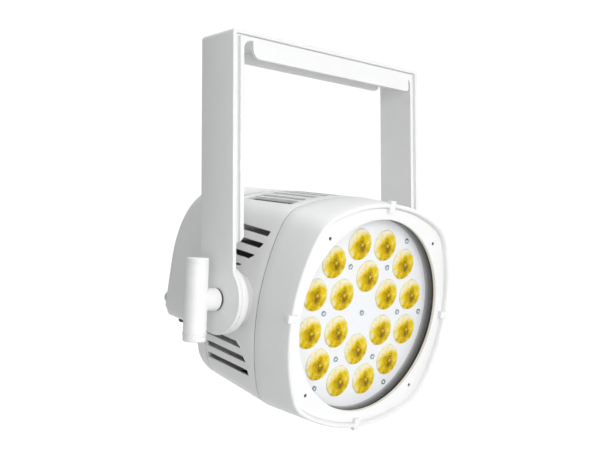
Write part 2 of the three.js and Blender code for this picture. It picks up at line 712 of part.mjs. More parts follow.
// ---------------------------------------------------------------- head: rear cover and its contents

/** Side outline of the rear cover as [y, z] points, drawn smaller by an inset. */
function coverOutline(inset) {
  const rear = COVER_REAR - inset;
  const top = COVER_TOP - inset;
  const bottom = COVER_UNDERSIDE + inset;
  const shape = new THREE.Shape();
  shape.moveTo(COVER_FRONT - 20, bottom);
  shape.lineTo(rear - 7, bottom);
  shape.lineTo(rear, bottom + 7);
  shape.lineTo(rear, 8);
  shape.bezierCurveTo(rear, 56 - inset, 130 - inset, top - 3, COVER_CREST, top);
  shape.lineTo(COVER_FRONT - 20, top);
  return shape.getPoints(10).map(({ x, y }) => [x, y]);
}

/** The cover's solid block: its side outline carried across the lamp, side edges rounded. */
function coverBlock(inset) {
  const half = COVER_HALF_WIDTH - inset;
  const edge = COVER_EDGE_RADIUS - inset;
  const quarter = [0, 0.25, 0.5, 0.75, 1].map((part) => part * Math.PI / 2);
  const leftSide = quarter.map((angle) => ({
    shrink: edge * (1 - Math.sin(angle)),
    at: edge * (1 - Math.cos(angle)) - half,
  }));
  const bothSides = [...leftSide, ...leftSide.map(({ shrink, at }) => ({ shrink, at: -at })).reverse()];
  const block = lofted(bothSides.map(({ shrink, at }) => ({
    outline: coverOutline(inset + shrink), at,
  })), { capped: true, along: 'x' });
  return block.intersect(box([-120, 120], [COVER_FRONT + inset, 200], [-120, 160]));
}

const connectorCentres = [-1.5, -0.5, 0.5, 1.5].map((step) => [step * CONNECTOR_SPACING, CONNECTOR_Y]);

function rearCover() {
  const shell = coverBlock(0).subtract(coverBlock(WALL));
  const panelHole = box([3 - PANEL.halfWidth, PANEL.halfWidth - 3], [COVER_REAR - 8, COVER_REAR + 8],
    [PANEL.bottom + 3, PANEL.top - 3]);
  const sockets = connectorCentres.map((centre) => rod('z', 12.1,
    [COVER_UNDERSIDE - 5, COVER_UNDERSIDE + 8], centre, 24));
  return cut(shell, [panelHole, cableOpening([COVER_FRONT - 5, COVER_FRONT + 5]), ...sockets]);
}

/** Panel-mount connector that points down: flange, barrel with an end collar, socket for the plug. */
function connector([x, y]) {
  const face = COVER_UNDERSIDE - FIT_GAP;
  const end = face - 17;
  return join([
    box([x - 13, x + 13], [y - 15.5, y + 15.5], [face - 3, face]),
    rod('z', 11.7, [end + 4, COVER_UNDERSIDE + 9], [x, y], 20),
    rod('z', 12.6, [end, end + 5], [x, y], 20),
  ]).subtract(rod('z', SOCKET_RADIUS, [end - 3, end + SOCKET_DEPTH], [x, y], 20));
}

/** Panel plate with a window for the display and one hole for each button. */
function controlPanel() {
  const plate = box([-PANEL.halfWidth, PANEL.halfWidth],
    [COVER_REAR + FIT_GAP, COVER_REAR + FIT_GAP + PANEL.thickness], [PANEL.bottom, PANEL.top]);
  const window = box([-26, 26], [COVER_REAR - 5, COVER_REAR + 5], [-13, 1]);
  const holes = BUTTON_POSITIONS.map((x) => rod('y', 4.4, [COVER_REAR - 5, COVER_REAR + 5],
    [x, BUTTON_HEIGHT], 16));
  return cut(plate, [window, ...holes]);
}

/** Button cap with a wider foot that keeps it behind the panel. */
function pushButton(x) {
  return join([
    rod('y', 4.1, [COVER_REAR - 4, COVER_REAR + 4.4], [x, BUTTON_HEIGHT], 16),
    rod('y', 5.2, [COVER_REAR - 1.6, COVER_REAR], [x, BUTTON_HEIGHT], 16),
  ]);
}

/** Control board with the display module and a switch under each button. */
function controlBoard() {
  const front = COVER_REAR - 8;
  const switches = BUTTON_POSITIONS.map((x) => box([x - 3, x + 3], [front - 1, front + 2.6],
    [BUTTON_HEIGHT - 3, BUTTON_HEIGHT + 3]));
  return join([
    box([-47, 47], [front - 1.6, front], [PANEL.bottom + 4, PANEL.top - 4]),
    box([-24, 24], [front - 1, COVER_REAR - 2.4], [-12, 0.4]),
    ...switches,
  ]);
}

/** Folded-metal power supply case with a raised terminal block. */
function powerSupply() {
  return join([
    box([-70, 70], [77, 112], [-32, 46]),
    box([-60, -20], [111, 118], [-20, -8]),
  ]);
}

addPiece(headGroup, 'rear_cover', rearCover(), 'whitePaint');
addPiece(headGroup, 'control_panel', controlPanel(), 'blackPlastic');
addPiece(headGroup, 'display_window',
  box([-25.7, 25.7], [COVER_REAR - 2, COVER_REAR + 2], [-12.7, 0.7]), 'clearGlass');
BUTTON_POSITIONS.forEach((x, i) => {
  addPiece(headGroup, `button_${i + 1}`, pushButton(x), 'blackPlastic');
});
addPiece(headGroup, 'control_board', controlBoard(), 'circuitBoard');
addPiece(headGroup, 'power_supply', powerSupply(), 'aluminium');
['power_inlet', 'power_outlet', 'data_inlet', 'data_outlet'].forEach((name, i) => {
  addPiece(headGroup, name, connector(connectorCentres[i]), 'blackPlastic');
});

/** Moulded foot that the head can be laid down on. */
function rearFoot(side) {
  const end = -COVER_REAR - FOOT_HEIGHT;
  const profile = [[0, end], [FOOT_RADIUS - 1.6, end], [FOOT_RADIUS, end + 1.6],
    [FOOT_RADIUS, -COVER_REAR - FIT_GAP], [0, -COVER_REAR - FIT_GAP]];
  return turned(profile, 20, [side * FOOT_CENTRE[0], FOOT_CENTRE[1]]);
}

for (const [name, side] of SIDES) {
  addPiece(headGroup, `rear_foot_${name}`, rearFoot(side), 'whitePlastic');
}

export default par;
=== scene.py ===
"""LED par can: the looks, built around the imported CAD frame.

Metres, +Z up, in the CAD's own frame. Shapes of the lamp head are drawn in the head's own frame, in
millimetres: x to the right, y to the back along the lamp axis, z up, with the tilt axis through its
origin. "depth" is the distance in front of the tilt axis, so y = -depth.
"""
import json
import math

import bmesh
import bpy
from mathutils import Matrix, Vector

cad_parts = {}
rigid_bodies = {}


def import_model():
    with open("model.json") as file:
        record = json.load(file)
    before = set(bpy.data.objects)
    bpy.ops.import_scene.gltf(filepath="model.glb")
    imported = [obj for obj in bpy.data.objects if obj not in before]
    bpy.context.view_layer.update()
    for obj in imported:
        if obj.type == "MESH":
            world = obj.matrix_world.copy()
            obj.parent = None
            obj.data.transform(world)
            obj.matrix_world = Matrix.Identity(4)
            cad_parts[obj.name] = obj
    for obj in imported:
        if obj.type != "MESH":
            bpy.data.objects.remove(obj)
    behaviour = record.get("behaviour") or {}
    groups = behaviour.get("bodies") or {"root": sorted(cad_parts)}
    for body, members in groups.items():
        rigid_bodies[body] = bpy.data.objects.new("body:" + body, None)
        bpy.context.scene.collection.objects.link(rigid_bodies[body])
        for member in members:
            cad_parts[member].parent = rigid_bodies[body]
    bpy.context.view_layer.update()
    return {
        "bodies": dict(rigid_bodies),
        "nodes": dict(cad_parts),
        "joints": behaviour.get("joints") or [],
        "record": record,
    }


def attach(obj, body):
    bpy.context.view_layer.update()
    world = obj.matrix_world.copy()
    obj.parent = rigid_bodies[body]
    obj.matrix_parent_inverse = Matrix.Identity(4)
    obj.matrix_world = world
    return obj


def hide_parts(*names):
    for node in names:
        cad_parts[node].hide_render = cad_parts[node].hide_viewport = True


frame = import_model()

MM = 0.001
FIT_GAP = 0.3

# ---- places that the frame gives

joints = {joint["name"]: joint for joint in frame["joints"]}
PIVOT = Vector(joints["head_tilt"]["pos_m"])
lamp_axis = joints["fan_spin"]["axis"]
TILT = math.atan2(lamp_axis[2], lamp_axis[1])
FROM_PIVOT = Matrix.Translation(PIVOT) @ Matrix.Scale(MM, 4)
FROM_HEAD = Matrix.Translation(PIVOT) @ Matrix.Rotation(TILT, 4, "X") @ Matrix.Scale(MM, 4)

# ---- driving dimensions, millimetres

YOKE_HALF = 137.0
YOKE_HEIGHT = 260.0
STRAP_HALF_DEPTH = 24.5
STRAP_THICKNESS = 4.5
STRAP_BEND = 5.0
ARM_END_RADIUS = 34.0
ARM_END_FILLET = 15.0
STIFFENER_INNER = 123.5
STIFFENER_HALF_DEPTH = 21.0
UNDERSIDE = 10.0
STIFFENER_FOOT = 50.0
BEAD = 4.5
CLAMP_HOLE_RADIUS = 6.5
CLAMP_HOLE_OFFSET = 40.0

STUD_HOLE = 5.6
STUD_BORE = 5.3
DISC_OUTSIDE = 132.2
DISC_INSIDE = 125.4
HUB_RADIUS = 26.0
HANDLE_OFFSET = 161.5
HANDLE_LENGTH = 79.0
HANDLE_RADIUS = 11.1
HANDLE_LEAN = math.radians(3.1)

HEAD_BOW = 225.0  # radius of the head's bowed sides
HEAD_CORNER = 35.0
BEZEL_BOW, BEZEL_CORNER = 166.0, 39.0
SEAM = 33.0
SEAM_GAP = 0.45
WALL = 3.0
HOUSING_REAR = 51.2
FRAME_REAR = 71.6
REAR_HEIGHT = 0.974  # height of the head at the housing's rear edge, as a share of its width
BEZEL_FRONT = 78.0
BEZEL_BACK = 74.6
BEZEL_HALF = 108.7
RIM_FRONT = 82.5
OPENING_RADIUS = 97.5
BEZEL_SCREW = 75.9
BEZEL_SCREW_RADIUS = 1.7
TAB_HALF_WIDTH = 3.8
TAB_REACH = (104.6, 116.8)
TAB_FRONT = 82.1
GLASS_RADIUS = 103.8
GLASS_BACK, GLASS_FRONT = 70.1, 73.2
BAFFLE_RADIUS = 100.2
BAFFLE_BACK, BAFFLE_FRONT = 59.5, 73.3
PLATE_FRONT = 63.4
PLATE_THICKNESS = 2.4
LENS_RADIUS = 15.85
LENS_RINGS = ((12, 72.0, 75.0), (6, 37.5, 90.0))
PLATE_SCREW_RADIUS = 54.0
EDGE_SCREWS = ((88.0, (0, 180)), (90.6, (56, 124, 236, 304)))
SLOT_PITCH = 12.5
SLOT_HALF = 2.8
SLOT_REAR = 48.2
TOP_SLOT_PITCH = 14.6
TOP_SLOT_HALF = 3.4
TOP_END_SLOT = (65.2, 76.4)  # the wider slot at each end of the row
TOP_SLOT_FRONT = -18.0

COVER_FRONT = 71.9
COVER_CREST = 57.6  # y where the cover's top would run level
COVER_REAR = 148.0
COVER_BOTTOM = -51.6
COVER_TOP = 105.0
COVER_HALF = 92.0
COVER_EDGE = 12.0
CABLE_HALF = 62.0
CABLE_BOTTOM = -30.0
CABLE_TOP = 60.0
PANEL_HALF = 52.0
PANEL_BOTTOM = -35.0
PANEL_TOP = 5.0
PANEL_SCREW_X, PANEL_SCREW_Z = (-47.0, 47.0), (-30.0, 0.0)
WINDOW_HALF = 26.0
WINDOW_BOTTOM, WINDOW_TOP = -13.0, 1.0
BUTTON_X = (-27.0, -9.0, 9.0, 27.0)
BUTTON_Z = -24.0
CONNECTOR_X = (-67.5, -22.5, 22.5, 67.5)
CONNECTOR_Y = 114.0
CONTACT_CIRCLE = 4.6
FLANGE_SCREW_X, FLANGE_SCREW_Y = 10.2, 12.7
FOOT_X, FOOT_Z = 76.0, -34.2

SIDES = (("left", -1), ("right", 1))
BOTH = (-1, 1)

# ---- studio, metres and watts

FLOOR_DROP = 0.55
ROOM_STRENGTH = 0.39
SEEN_STRENGTH = 1.05
SOFTBOXES = (  # name, offset from the tilt axis, size, power
    ("key_softbox", (0.0, -2.2, 0.0), (2.2, 2.2), 41.5),
    ("top_softbox", (0.3, 0.3, 2.2), (2.2, 2.2), 37.0),
    ("right_softbox", (2.3, -0.3, 0.4), (1.4, 1.8), 18.0),
    ("left_softbox", (-0.95, -0.9, 0.0), (0.8, 0.8), 3.4),
)
CAMERA_OFFSET = (-0.7187, -0.7287, 0.00895)
CAMERA_AZIMUTH, CAMERA_ELEVATION, CAMERA_ROLL = -43.82, -3.82, -0.11
FOCAL_LENGTH = 57.2


# ---- materials

class Nodes:
    """A node tree with short ways to add and link nodes."""

    def __init__(self, name):
        self.material = bpy.data.materials.new(name)
        self.material.use_nodes = True
        self.tree = self.material.node_tree
        self.shader = self.tree.nodes["Principled BSDF"]
        self.place = self.tree.nodes.new("ShaderNodeTexCoord")

    def link(self, source, target):
        self.tree.links.new(source, target)

    def scaled_place(self, scale):
        """Object coordinates with a scale per axis."""
        node = self.tree.nodes.new("ShaderNodeMapping")
        node.inputs["Scale"].default_value = scale
        self.link(self.place.outputs["Object"], node.inputs["Vector"])
        return node.outputs["Vector"]

    def noise(self, scale, detail=3.0, roughness=0.5, vector=None):
        node = self.tree.nodes.new("ShaderNodeTexNoise")
        node.inputs["Scale"].default_value = scale
        node.inputs["Detail"].default_value = detail
        node.inputs["Roughness"].default_value = roughness
        self.link(vector or self.place.outputs["Object"], node.inputs["Vector"])
        return node.outputs["Fac"]

    def ramp(self, source, stops):
        node = self.tree.nodes.new("ShaderNodeValToRGB")
        ramp = node.color_ramp
        while len(ramp.elements) < len(stops):
            ramp.elements.new(0.5)
        for element, (position, colour) in zip(ramp.elements, stops):
            element.position = position
            element.color = (*colour, 1.0)
        self.link(source, node.inputs["Fac"])
        return node.outputs["Color"]

    def spread(self, source, low, high):
        """Map 0..1 onto low..high."""
        node = self.tree.nodes.new("ShaderNodeMapRange")
        node.inputs["To Min"].default_value = low
        node.inputs["To Max"].default_value = high
        self.link(source, node.inputs["Value"])
        return node.outputs["Result"]

    def math(self, operation, a, b=None, c=None):
        node = self.tree.nodes.new("ShaderNodeMath")
        node.operation = operation
        for socket, value in zip(node.inputs, (a, b, c)):
            if hasattr(value, "is_linked"):
                self.link(value, socket)
            elif value is not None:
                socket.default_value = value
        return node.outputs["Value"]

    def vector_math(self, operation, a, b=None):
        """A number made from one or two vectors."""
        node = self.tree.nodes.new("ShaderNodeVectorMath")
        node.operation = operation
        self.link(a, node.inputs[0])
        if b:
            node.inputs[1].default_value = b
        return node.outputs["Value"]

    def bump(self, source, height_mm, strength=1.0):
        node = self.tree.nodes.new("ShaderNodeBump")
        node.inputs["Strength"].default_value = strength
        node.inputs["Distance"].default_value = height_mm * MM
        self.link(source, node.inputs["Height"])
        self.link(node.outputs["Normal"], self.shader.inputs["Normal"])

    def set(self, **values):
        for name, value in values.items():
            socket = self.shader.inputs[name.replace("_", " ")]
            if hasattr(value, "is_linked"):
                self.link(value, socket)
            else:
                socket.default_value = value


def mottled(nodes, colour, amount, scale):
    """Colour that varies a little, in soft patches."""
    low = [channel * (1 - amount) for channel in colour]
    high = [min(1.0, channel * (1 + amount)) for channel in colour]
    return nodes.ramp(nodes.noise(scale, 4.0), [(0.3, low), (0.7, high)])


def powder_coat(name, colour, roughness=0.42):
    """Sprayed and baked powder: fine orange peel under a satin skin."""
    nodes = Nodes(name)
    nodes.set(Base_Color=mottled(nodes, colour, 0.012, 35.0))
    nodes.set(Roughness=nodes.spread(nodes.noise(420.0, 2.0), roughness - 0.05, roughness + 0.05))
    nodes.set(IOR=1.5)
    nodes.bump(nodes.noise(1500.0, 2.0), 0.05, 0.35)
    return nodes.material


def moulded_plastic(name, colour, roughness, grain=0.04):
    """Injection-moulded plastic with a fine spark-eroded grain."""
    nodes = Nodes(name)
    nodes.set(Base_Color=mottled(nodes, colour, 0.03, 60.0))
    nodes.set(Roughness=nodes.spread(nodes.noise(900.0, 2.0), roughness - 0.04, roughness + 0.06))
    nodes.bump(nodes.noise(2600.0, 1.0), grain, 0.4)
    return nodes.material


def rubber(name, colour):
    nodes = Nodes(name)
    nodes.set(Base_Color=mottled(nodes, colour, 0.15, 90.0), Roughness=0.8)
    nodes.bump(nodes.noise(1800.0, 3.0), 0.08, 0.5)
    return nodes.material


EVEN = (900.0, 900.0, 900.0)


def brushed_metal(name, colour, roughness, stretch=(60.0, 60.0, 2500.0)):
    """Bare metal with fine scratches along one direction."""
    nodes = Nodes(name)
    scratches = nodes.noise(1.0, vector=nodes.scaled_place(stretch))
    nodes.set(Base_Color=mottled(nodes, colour, 0.05, 80.0), Metallic=1.0)
    nodes.set(Roughness=nodes.spread(scratches, roughness - 0.08, roughness + 0.1))
    nodes.bump(scratches, 0.02, 0.4)
    return nodes.material


def circuit_board(name):
    """Green solder mask with copper tracks showing through as paler lines."""
    nodes = Nodes(name)
    tracks = nodes.tree.nodes.new("ShaderNodeTexBrick")
    tracks.inputs["Scale"].default_value = 120.0
    tracks.inputs["Color1"].default_value = (0.02, 0.16, 0.07, 1)
    tracks.inputs["Color2"].default_value = (0.03, 0.2, 0.09, 1)
    tracks.inputs["Mortar"].default_value = (0.08, 0.3, 0.15, 1)
    nodes.link(nodes.place.outputs["Object"], tracks.inputs["Vector"])
    nodes.set(Base_Color=tracks.outputs["Color"], Roughness=0.35)
    nodes.bump(tracks.outputs["Fac"], 0.03, 0.5)
    return nodes.material


def clear_pane(name, alpha, tint=(1.0, 1.0, 1.0)):
    """Flat glass that the light passes straight through."""
    nodes = Nodes(name)
    nodes.set(Base_Color=(*tint, 1.0), Alpha=alpha, IOR=1.5)
    nodes.set(Roughness=nodes.spread(nodes.noise(25.0, 2.0), 0.02, 0.06))
    return nodes.material


def lens_optic():
    """Collimator over a yellow emitter, drawn as painted light: the dark gold core and the clear
    yellow round it are a painted view of the emitter through the optic, paling to the rim as a
    painted reflection.

    The lens mesh is in millimetres about its own axis, so every lens has the same pattern. The core
    sits a little low and the top is paler as a painted reflection of the light above, with soft
    streaks and fine rings over both.
    """
    nodes = Nodes("lens_painted_emitter_view")
    across = nodes.scaled_place((1 / LENS_RADIUS, 0.0, 1 / LENS_RADIUS))
    radius = nodes.vector_math("LENGTH", across)
    painted_top_sheen = nodes.vector_math("DOT_PRODUCT", across, (-0.30, 0.0, 0.95))
    streaks = nodes.noise(0.17, 3.0, 0.55)
    ripple = nodes.math("SINE", nodes.math("MULTIPLY", radius, 40.0))
    value = nodes.math("MULTIPLY_ADD", painted_top_sheen, 0.30, radius)
    value = nodes.math("MULTIPLY_ADD", streaks, 1.7, value)
    value = nodes.math("MULTIPLY_ADD", ripple, 0.06, nodes.math("SUBTRACT", value, 0.58))
    # Dark gold to pale yellow: a painted view of the emitter, then a painted reflection towards the
    # rim and top.
    colour = nodes.ramp(nodes.math("MULTIPLY", value, 0.5), [
        (0.14, (0.20, 0.120, 0.001)),
        (0.24, (0.42, 0.262, 0.001)),
        (0.32, (0.60, 0.390, 0.001)),
        (0.40, (0.74, 0.520, 0.003)),
        (0.48, (0.82, 0.620, 0.025)),
        (0.55, (0.84, 0.690, 0.140)),
        (0.63, (0.85, 0.760, 0.400)),
        (0.74, (0.88, 0.830, 0.620)),
    ])
    nodes.set(Base_Color=colour, Roughness=0.12, Specular_IOR_Level=0.05)
    nodes.bump(streaks, 0.5, 0.5)
    return nodes.material


def gold_resin(name, colour):
    """Cast resin over an emitter, with hardly any shine of its own under the lens."""
    nodes = Nodes(name)
    nodes.set(Base_Color=mottled(nodes, colour, 0.1, 0.4), Roughness=0.3, Specular_IOR_Level=0.06)
    return nodes.material


WHITE = (0.82, 0.82, 0.815)
paint = powder_coat("white_powder_coat", WHITE)
plate_paint = powder_coat("white_lens_plate", (0.84, 0.85, 0.875), 0.5)
grip_plastic = moulded_plastic("white_grip_plastic", (0.85, 0.85, 0.845), 0.34)
black_plastic = moulded_plastic("black_connector_plastic", (0.014, 0.014, 0.015), 0.42)
panel_plastic = moulded_plastic("black_panel_plastic", (0.018, 0.018, 0.02), 0.36)
button_plastic = moulded_plastic("grey_button_plastic", (0.10, 0.10, 0.105), 0.4)
# Painted shade: the head's insides, the faces at its seams, the bezel's screw holes, the screw
# sockets and the heat sink take this near-black colour in place of the shade that falls in them.
painted_shade_black = moulded_plastic("black_painted_shade_inside", (0.035, 0.036, 0.038), 0.7)
# Painted shade: one paint in six steps, lighter near the lens plate whose bounce would light the
# baffle, near-black towards the front.
baffle_painted_shades = [powder_coat(f"baffle_painted_shade_{number}", (shade, shade, 1.03 * shade), 0.35)
                 for number, shade in enumerate((0.50, 0.34, 0.21, 0.14, 0.11, 0.03), start=1)]
gasket_rubber = rubber("black_gasket_rubber", (0.012, 0.012, 0.012))
# Dark ring where each handle's stem meets the arm.
dark_ring_finish = rubber("dark_handle_ring", (0.06, 0.05, 0.042))
foot_rubber = rubber("pale_foot_rubber", (0.55, 0.55, 0.54))
steel = brushed_metal("zinc_steel", (0.62, 0.63, 0.64), 0.28)
screw_steel = brushed_metal("bright_screw_steel", (0.33, 0.40, 0.43), 0.3, EVEN)
dark_steel = brushed_metal("black_screw_steel", (0.03, 0.03, 0.03), 0.4, EVEN)
aluminium = brushed_metal("brushed_aluminium", (0.68, 0.69, 0.70), 0.36)
brass = brushed_metal("gold_contact", (0.72, 0.5, 0.18), 0.25, EVEN)
green_board = circuit_board("green_circuit_board")
front_pane = clear_pane("clear_front_glass", 0.02, (0.1, 0.1, 0.1))
display_pane = clear_pane("smoked_display_glass", 0.55, (0.02, 0.03, 0.035))
optic_painted_view = lens_optic()
emitter_yellow = gold_resin("emitter_phosphor", (0.70, 0.48, 0.01))
emitter_frame = gold_resin("emitter_frame", (0.15, 0.095, 0.002))


# ---- mesh tools (millimetres)

def new_object(name, data):
    made = bpy.data.objects.new(name, data)
    bpy.context.scene.collection.objects.link(made)
    return made


def mesh_object(name, points, faces, materials, slots=None):
    """Object with a new mesh. slots gives a material number per face."""
    mesh = bpy.data.meshes.new(name)
    mesh.from_pydata([tuple(p) for p in points], [], faces)
    for material in materials:
        mesh.materials.append(material)
    if slots:
        mesh.polygons.foreach_set("material_index", slots)
    return new_object(name, mesh)


def clean(piece):
    """Weld doubled points and make the faces point outwards."""
    work = bmesh.new()
    work.from_mesh(piece.data)
    bmesh.ops.remove_doubles(work, verts=work.verts, dist=1e-4)
    bmesh.ops.dissolve_degenerate(work, edges=work.edges, dist=1e-5)
    bmesh.ops.recalc_face_normals(work, faces=work.faces)
    work.to_mesh(piece.data)
    work.free()
    return piece


def apply_modifier(piece, kind, **settings):
    modifier = piece.modifiers.new(kind.title(), kind)
    for name, value in settings.items():
        setattr(modifier, name, value)
    bpy.context.view_layer.update()
    graph = bpy.context.evaluated_depsgraph_get()
    made = bpy.data.meshes.new_from_object(piece.evaluated_get(graph))
    piece.modifiers.clear()
    old = piece.data
    piece.data = made
    bpy.data.meshes.remove(old)


def combine(piece, tool, operation):
    """Boolean of piece with tool, which is used up."""
    apply_modifier(piece, "BOOLEAN", object=tool, operation=operation, solver="EXACT")
    bpy.data.objects.remove(tool)
    return clean(piece)


def cut(piece, tool):
    return combine(piece, tool, "DIFFERENCE")


def join(piece, tool):
    return combine(piece, tool, "UNION")


def merge(name, parts):
    """One object out of several, each keeping its own materials."""
    materials = []
    points, faces, slots = [], [], []
    for part in parts:
        offset = len(points)
        points.extend(part.matrix_world @ v.co for v in part.data.vertices)
        numbers = []
        for material in part.data.materials:
            if material not in materials:
                materials.append(material)
            numbers.append(materials.index(material))
        for face in part.data.polygons:
            faces.append([offset + i for i in face.vertices])
            slots.append(numbers[face.material_index] if numbers else 0)
    for part in parts:
        bpy.data.objects.remove(part)
    return mesh_object(name, points, faces, materials, slots)


def soften(piece, width, angle=40.0, segments=3):
    """Round every edge sharper than the angle."""
    apply_modifier(piece, "BEVEL", width=width, segments=segments, limit_method="ANGLE",
                   angle_limit=math.radians(angle))
    return piece


def place(piece, matrix, body, nodes=(), sharp=32.0):
    """Finish a piece: move it into the row frame, shade it and let it ride on its body."""
    piece.data.transform(matrix)
    piece.data.shade_smooth()
    piece.data.set_sharp_from_angle(angle=math.radians(sharp))
    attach(piece, body)
    if nodes:
        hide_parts(*nodes)
    return piece


def on_head(piece, nodes=(), sharp=32.0):
    return place(piece, FROM_HEAD, "head", nodes, sharp)


def bowed_square(half, side, corner, side_steps=28, corner_steps=18):
    """Square with bowed sides and round corners as (x, z) points."""
    bow = side - half
    reach = side - corner
    centre = (math.sqrt(2 * reach * reach - bow * bow) - bow) / 2
    meet = math.atan2(centre, centre + bow)
    quarter = []
    for i in range(side_steps):
        angle = meet * (2 * i / side_steps - 1)
        quarter.append((side * math.cos(angle) - bow, side * math.sin(angle)))
    for i in range(corner_steps):
        angle = meet + (math.pi / 2 - 2 * meet) * i / corner_steps
        quarter.append((centre + corner * math.cos(angle), centre + corner * math.sin(angle)))
    outline = []
    for turn in range(4):
        c, s = round(math.cos(turn * math.pi / 2)), round(math.sin(turn * math.pi / 2))
        outline.extend((x * c - z * s, x * s + z * c) for x, z in quarter)
    return outline


def round_outline(radius):
    """Circle whose points lie at the same angles as the bowed square's."""
    return [(x * radius / math.hypot(x, z), z * radius / math.hypot(x, z))
            for x, z in bowed_square(BEZEL_HALF, BEZEL_BOW, BEZEL_CORNER)]


def square_ring(depth, half, side=HEAD_BOW, corner=HEAD_CORNER, height=1.0):
    """Outline of the head at one depth; its height is the given share of its width."""
    return [(x, -depth, z * height) for x, z in bowed_square(half, side, corner)]


def round_ring(depth, radius):
    return [(x, -depth, z) for x, z in round_outline(radius)]


def loft(name, rings, materials, closed=True, inner=None):
    """Skin over rings of equal count. closed joins the last ring to the first; otherwise both ends
    are capped. inner is (first, last): the spans that take the second material."""
    count = len(rings[0])
    points = [p for ring in rings for p in ring]
    faces, slots = [], []
    for r in range(len(rings) if closed else len(rings) - 1):
        here, there = r * count, (r + 1) % len(rings) * count
        for i in range(count):
            j = (i + 1) % count
            faces.append((here + i, here + j, there + j, there + i))
            slots.append(1 if inner and inner[0] <= r <= inner[1] else 0)
    if not closed:
        faces.append(tuple(range(count)))
        faces.append(tuple((len(rings) - 1) * count + i for i in reversed(range(count))))
        slots.extend((0, 0))
    return clean(mesh_object(name, points, faces, materials, slots))


def prism(name, outline, low, high, axis, material):
    """Extrude a closed outline along an axis: (y, z) along x, (x, z) along y or (x, y) along z."""
    def point(a, b, t):
        return {"x": (t, a, b), "y": (a, t, b), "z": (a, b, t)}[axis]
    count = len(outline)
    points = [point(a, b, t) for t in (low, high) for a, b in outline]
    faces = [tuple(range(count)), tuple(count + i for i in reversed(range(count)))]
    faces += [(i, (i + 1) % count, count + (i + 1) % count, count + i) for i in range(count)]
    return clean(mesh_object(name, points, faces, [material]))


def turned(name, profile, materials, segments=64, axis="y", centre=(0, 0), bands=None):
    """Solid of revolution. profile is [(radius, along), ...]; along x or y it is the coordinate.
    It starts and ends on the axis, or closes on itself. bands gives a material number per span."""
    on_axis = profile[0][0] == 0 and profile[-1][0] == 0
    path = profile if on_axis else profile[:-1]
    points, faces, slots = [], [], []
    index = []
    for radius, along in path:
        ring = []
        for k in range(1 if radius == 0 else segments):
            angle = 2 * math.pi * k / segments
            u, v = centre[0] + radius * math.cos(angle), centre[1] + radius * math.sin(angle)
            ring.append(len(points))
            points.append({"x": (along, u, v), "y": (u, along, v), "z": (u, v, along)}[axis])
        index.append(ring)
    spans = len(path) - 1 if on_axis else len(path)
    for s in range(spans):
        a, b = index[s], index[(s + 1) % len(path)]
        for k in range(segments):
            m = (k + 1) % segments
            if len(a) == 1 and len(b) == 1:
                continue
            if len(a) == 1:
                faces.append((a[0], b[k], b[m]))
            elif len(b) == 1:
                faces.append((a[k], a[m], b[0]))
            else:
                faces.append((a[k], a[m], b[m], b[k]))
            slots.append(bands[s] if bands else 0)
    return clean(mesh_object(name, points, faces, materials, slots))


def arc(centre, radius, start, end, steps=10):
    """Points on an arc, angles in degrees, both ends included."""
    return [(centre[0] + radius * math.cos(math.radians(start + (end - start) * i / steps)),
             centre[1] + radius * math.sin(math.radians(start + (end - start) * i / steps)))
            for i in range(steps + 1)]


def rounded_box(low, high, radius, steps=6):
    """Outline of a rectangle with round corners."""
    (x0, z0), (x1, z1) = low, high
    r = radius
    return (arc((x1 - r, z1 - r), r, 0, 90, steps) + arc((x0 + r, z1 - r), r, 90, 180, steps)
            + arc((x0 + r, z0 + r), r, 180, 270, steps) + arc((x1 - r, z0 + r), r, 270, 360, steps))


def circle(centre, radius, steps=48):
    return arc(centre, radius, 0, 360 - 360 / steps, steps - 1)


def stepped_ring(inner, outer, low, high, edge, side=1):
    """Closed profile of a ring with small chamfered edges, for turned(). side -1 mirrors it."""
    nick = 0.3 * edge
    profile = [(inner, low + edge), (inner + edge, low), (outer - edge, low),
               (outer - nick, low + nick), (outer, low + edge), (outer, high - edge),
               (outer - nick, high - nick), (outer - edge, high), (inner + edge, high),
               (inner, high - edge), (inner, low + edge)]
    return [(radius, side * along) for radius, along in profile]


def rod(name, radius, low, high, axis="y", centre=(0, 0), segments=64, material=None):
    """Plain round rod, or the tool that bores a round hole."""
    return turned(name, [(0, low), (radius, low), (radius, high), (0, high)], [material or paint],
                  segments, axis, centre)


# ---- yoke

def clamp_hole_tool():
    return merge("holes", [prism("hole", circle((side * CLAMP_HOLE_OFFSET, 0), CLAMP_HOLE_RADIUS),
                                 200, 300, "z", paint) for side in BOTH])


